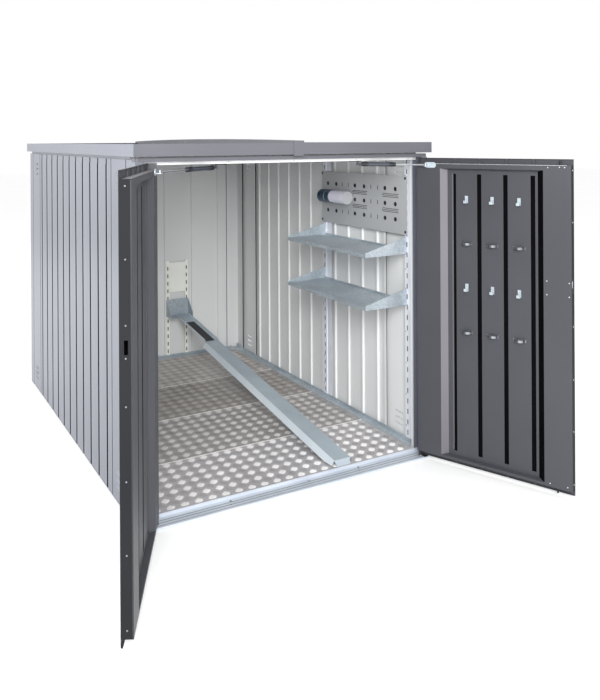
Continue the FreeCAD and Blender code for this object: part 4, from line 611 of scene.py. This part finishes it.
bm = bmesh.new()
folded(bm, [(-half - flank_run, -flank_drop), (-half, 0), (half, 0), (half + flank_run, -flank_drop)],
       0, flanks_end)
folded(bm, [(-half, rim_rise), (-half, 0), (half, 0), (half, rim_rise)], flanks_end, ramp_length)
bmesh.ops.recalc_face_normals(bm, faces=bm.faces[:])
bmesh.ops.transform(bm, matrix=laid, verts=bm.verts)
bmesh.ops.holes_fill(bm, edges=cut_off(bm, (0, 0, trim_z), (0, 0, -1)), sides=8)
tongue = ((-half, 2, 0), (half, 2, 0), (31, -11.5, -23.5), (-31, -11.5, -23.5))
front = Vector((ramp_x, front_y, front_z))
top_face = bm.faces.new([bm.verts.new((front + Vector(corner)) / 1000) for corner in tongue])
grown = bmesh.ops.extrude_face_region(bm, geom=[top_face])["geom"]
lower = [item for item in grown if isinstance(item, bmesh.types.BMVert)]
bmesh.ops.translate(bm, vec=(0, 0, -sheet / 1000), verts=lower)
bmesh.ops.recalc_face_normals(bm, faces=bm.faces[:])
ramp = piece("folded_ramp", bm, "cabin", "galvanised_steel", ramp_zinc, lit_ramp_zinc)
# Painted highlight: the lighter zinc on the faces that look left.
for face in ramp.data.polygons:
    face.material_index = int(face.normal.x < -0.5)
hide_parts("bike_ramp")

# Ramp fittings: a moulded pad of matt black ribbed rubber near the top, with a bright wire along its
# left edge that is partly a painted highlight on the rim, and the slotted rails and the plate behind the
# wheel, which have a smooth cream coat.
rubber = drifting("ribbed_rubber", "#2C2E33", "#36383D", (0.55, 0.7), 50, 0.8, 0.2, 0.0)
finish_nodes(rubber, "grip_pad")
cream = drifting("cream_plate", "#EDEEE7", "#F2F3EC", (0.36, 0.44), 200, 1.5, 0.06, 0.0)
finish_nodes(cream, "wheel_plate", "ramp_rails")
pad_end = ramp_length - 145
rib_count, rib_pitch, rib_wide = 26, 12.2, 4.5
bm = bmesh.new()
for rib in range(rib_count):
    y = pad_end - 316 + rib_pitch * rib
    block(bm, (-36, y, 2.6), (16, y + rib_wide, 4.4), laid)
piece("pad_ribs", bm, "cabin", "black_plastic", rubber)
wire_low, wire_high = rim_rise - 1, rim_rise + 1.6
# Partly painted highlight: a bright strip along the top of the rim, with a short hook.
bm = bmesh.new()
block(bm, (-half + 0.2, pad_end - 322, wire_low), (-half + 3.4, pad_end + 4, wire_high), laid)
block(bm, (-half + 3, pad_end + 1, wire_low), (-half + 12, pad_end + 4, wire_high), laid)
bmesh.ops.bevel(bm, geom=bm.edges[:], offset=0.0008, segments=2, profile=0.5, affect="EDGES", material=-1)
piece("pad_wire_and_highlight", bm, "cabin", "galvanised_steel", bright_zinc_and_highlight)

# Stage: a pale matt floor, a millimetre below the base, that runs out into a white surround.
bm = bmesh.new()
bmesh.ops.create_grid(bm, x_segments=1, y_segments=1, size=30)
bmesh.ops.translate(bm, vec=(0, 0, -0.001), verts=bm.verts)
mesh = bpy.data.meshes.new("floor")
bm.to_mesh(mesh)
bm.free()
floor = bpy.data.objects.new("floor", mesh)
bpy.context.scene.collection.objects.link(floor)
floor.data.materials.append(drifting("pale_floor", "#FBFBFB", "#FDFDFD", (0.8, 0.85), 2000, 5, 0.0, 0.0))

# Light: a plain white surround, a broad soft key from the left rear and a broad front light that
# reaches into the cabin.
world = bpy.data.worlds.new("surround")
world.use_nodes = True
bpy.context.scene.world = world
background = world.node_tree.nodes["Background"]
background.inputs["Color"].default_value = (1, 1, 1, 1)
background.inputs["Strength"].default_value = 1.0
for name, spot, aim, size, power in (("key", (-4.5, 3.6, 2.6), (-0.7, 0.6, 0.7), 4.0, 170),
                                     ("front", (-2.0, -4.9, 2.6), (0.4, -0.1, 0.6), 2.4, 330)):
    lamp = bpy.data.lights.new(name, "AREA")
    lamp.size = size
    lamp.energy = power
    lit = bpy.data.objects.new(name, lamp)
    lit.location = spot
    lit.rotation_mode = "QUATERNION"
    lit.rotation_quaternion = (Vector(aim) - Vector(spot)).to_track_quat("-Z", "Y")
    bpy.context.scene.collection.objects.link(lit)
bpy.context.scene.view_settings.view_transform = "Standard"

# Camera: to the left of the open doors, at about eye height, level but for a slight roll. The shifts
# put the lens's axis above and left of the picture's middle, as in the photograph.
image_wide, image_tall = 600, 700
focal_length = 734.1
centre_x, centre_y = 259.0, 140.8
yaw, roll = 28.2, 0.3
camera = bpy.data.cameras.new("camera")
camera.lens = focal_length / image_tall * camera.sensor_width
camera.shift_x = (image_wide / 2 - centre_x) / image_tall
camera.shift_y = (centre_y - image_tall / 2) / image_tall
eye = bpy.data.objects.new("camera", camera)
eye.location = (-1.5973, -3.6334, 1.4597)
eye.rotation_mode = "XYZ"
eye.rotation_euler = (math.radians(90), math.radians(roll), math.radians(-yaw))
bpy.context.scene.collection.objects.link(eye)
bpy.context.scene.camera = eye
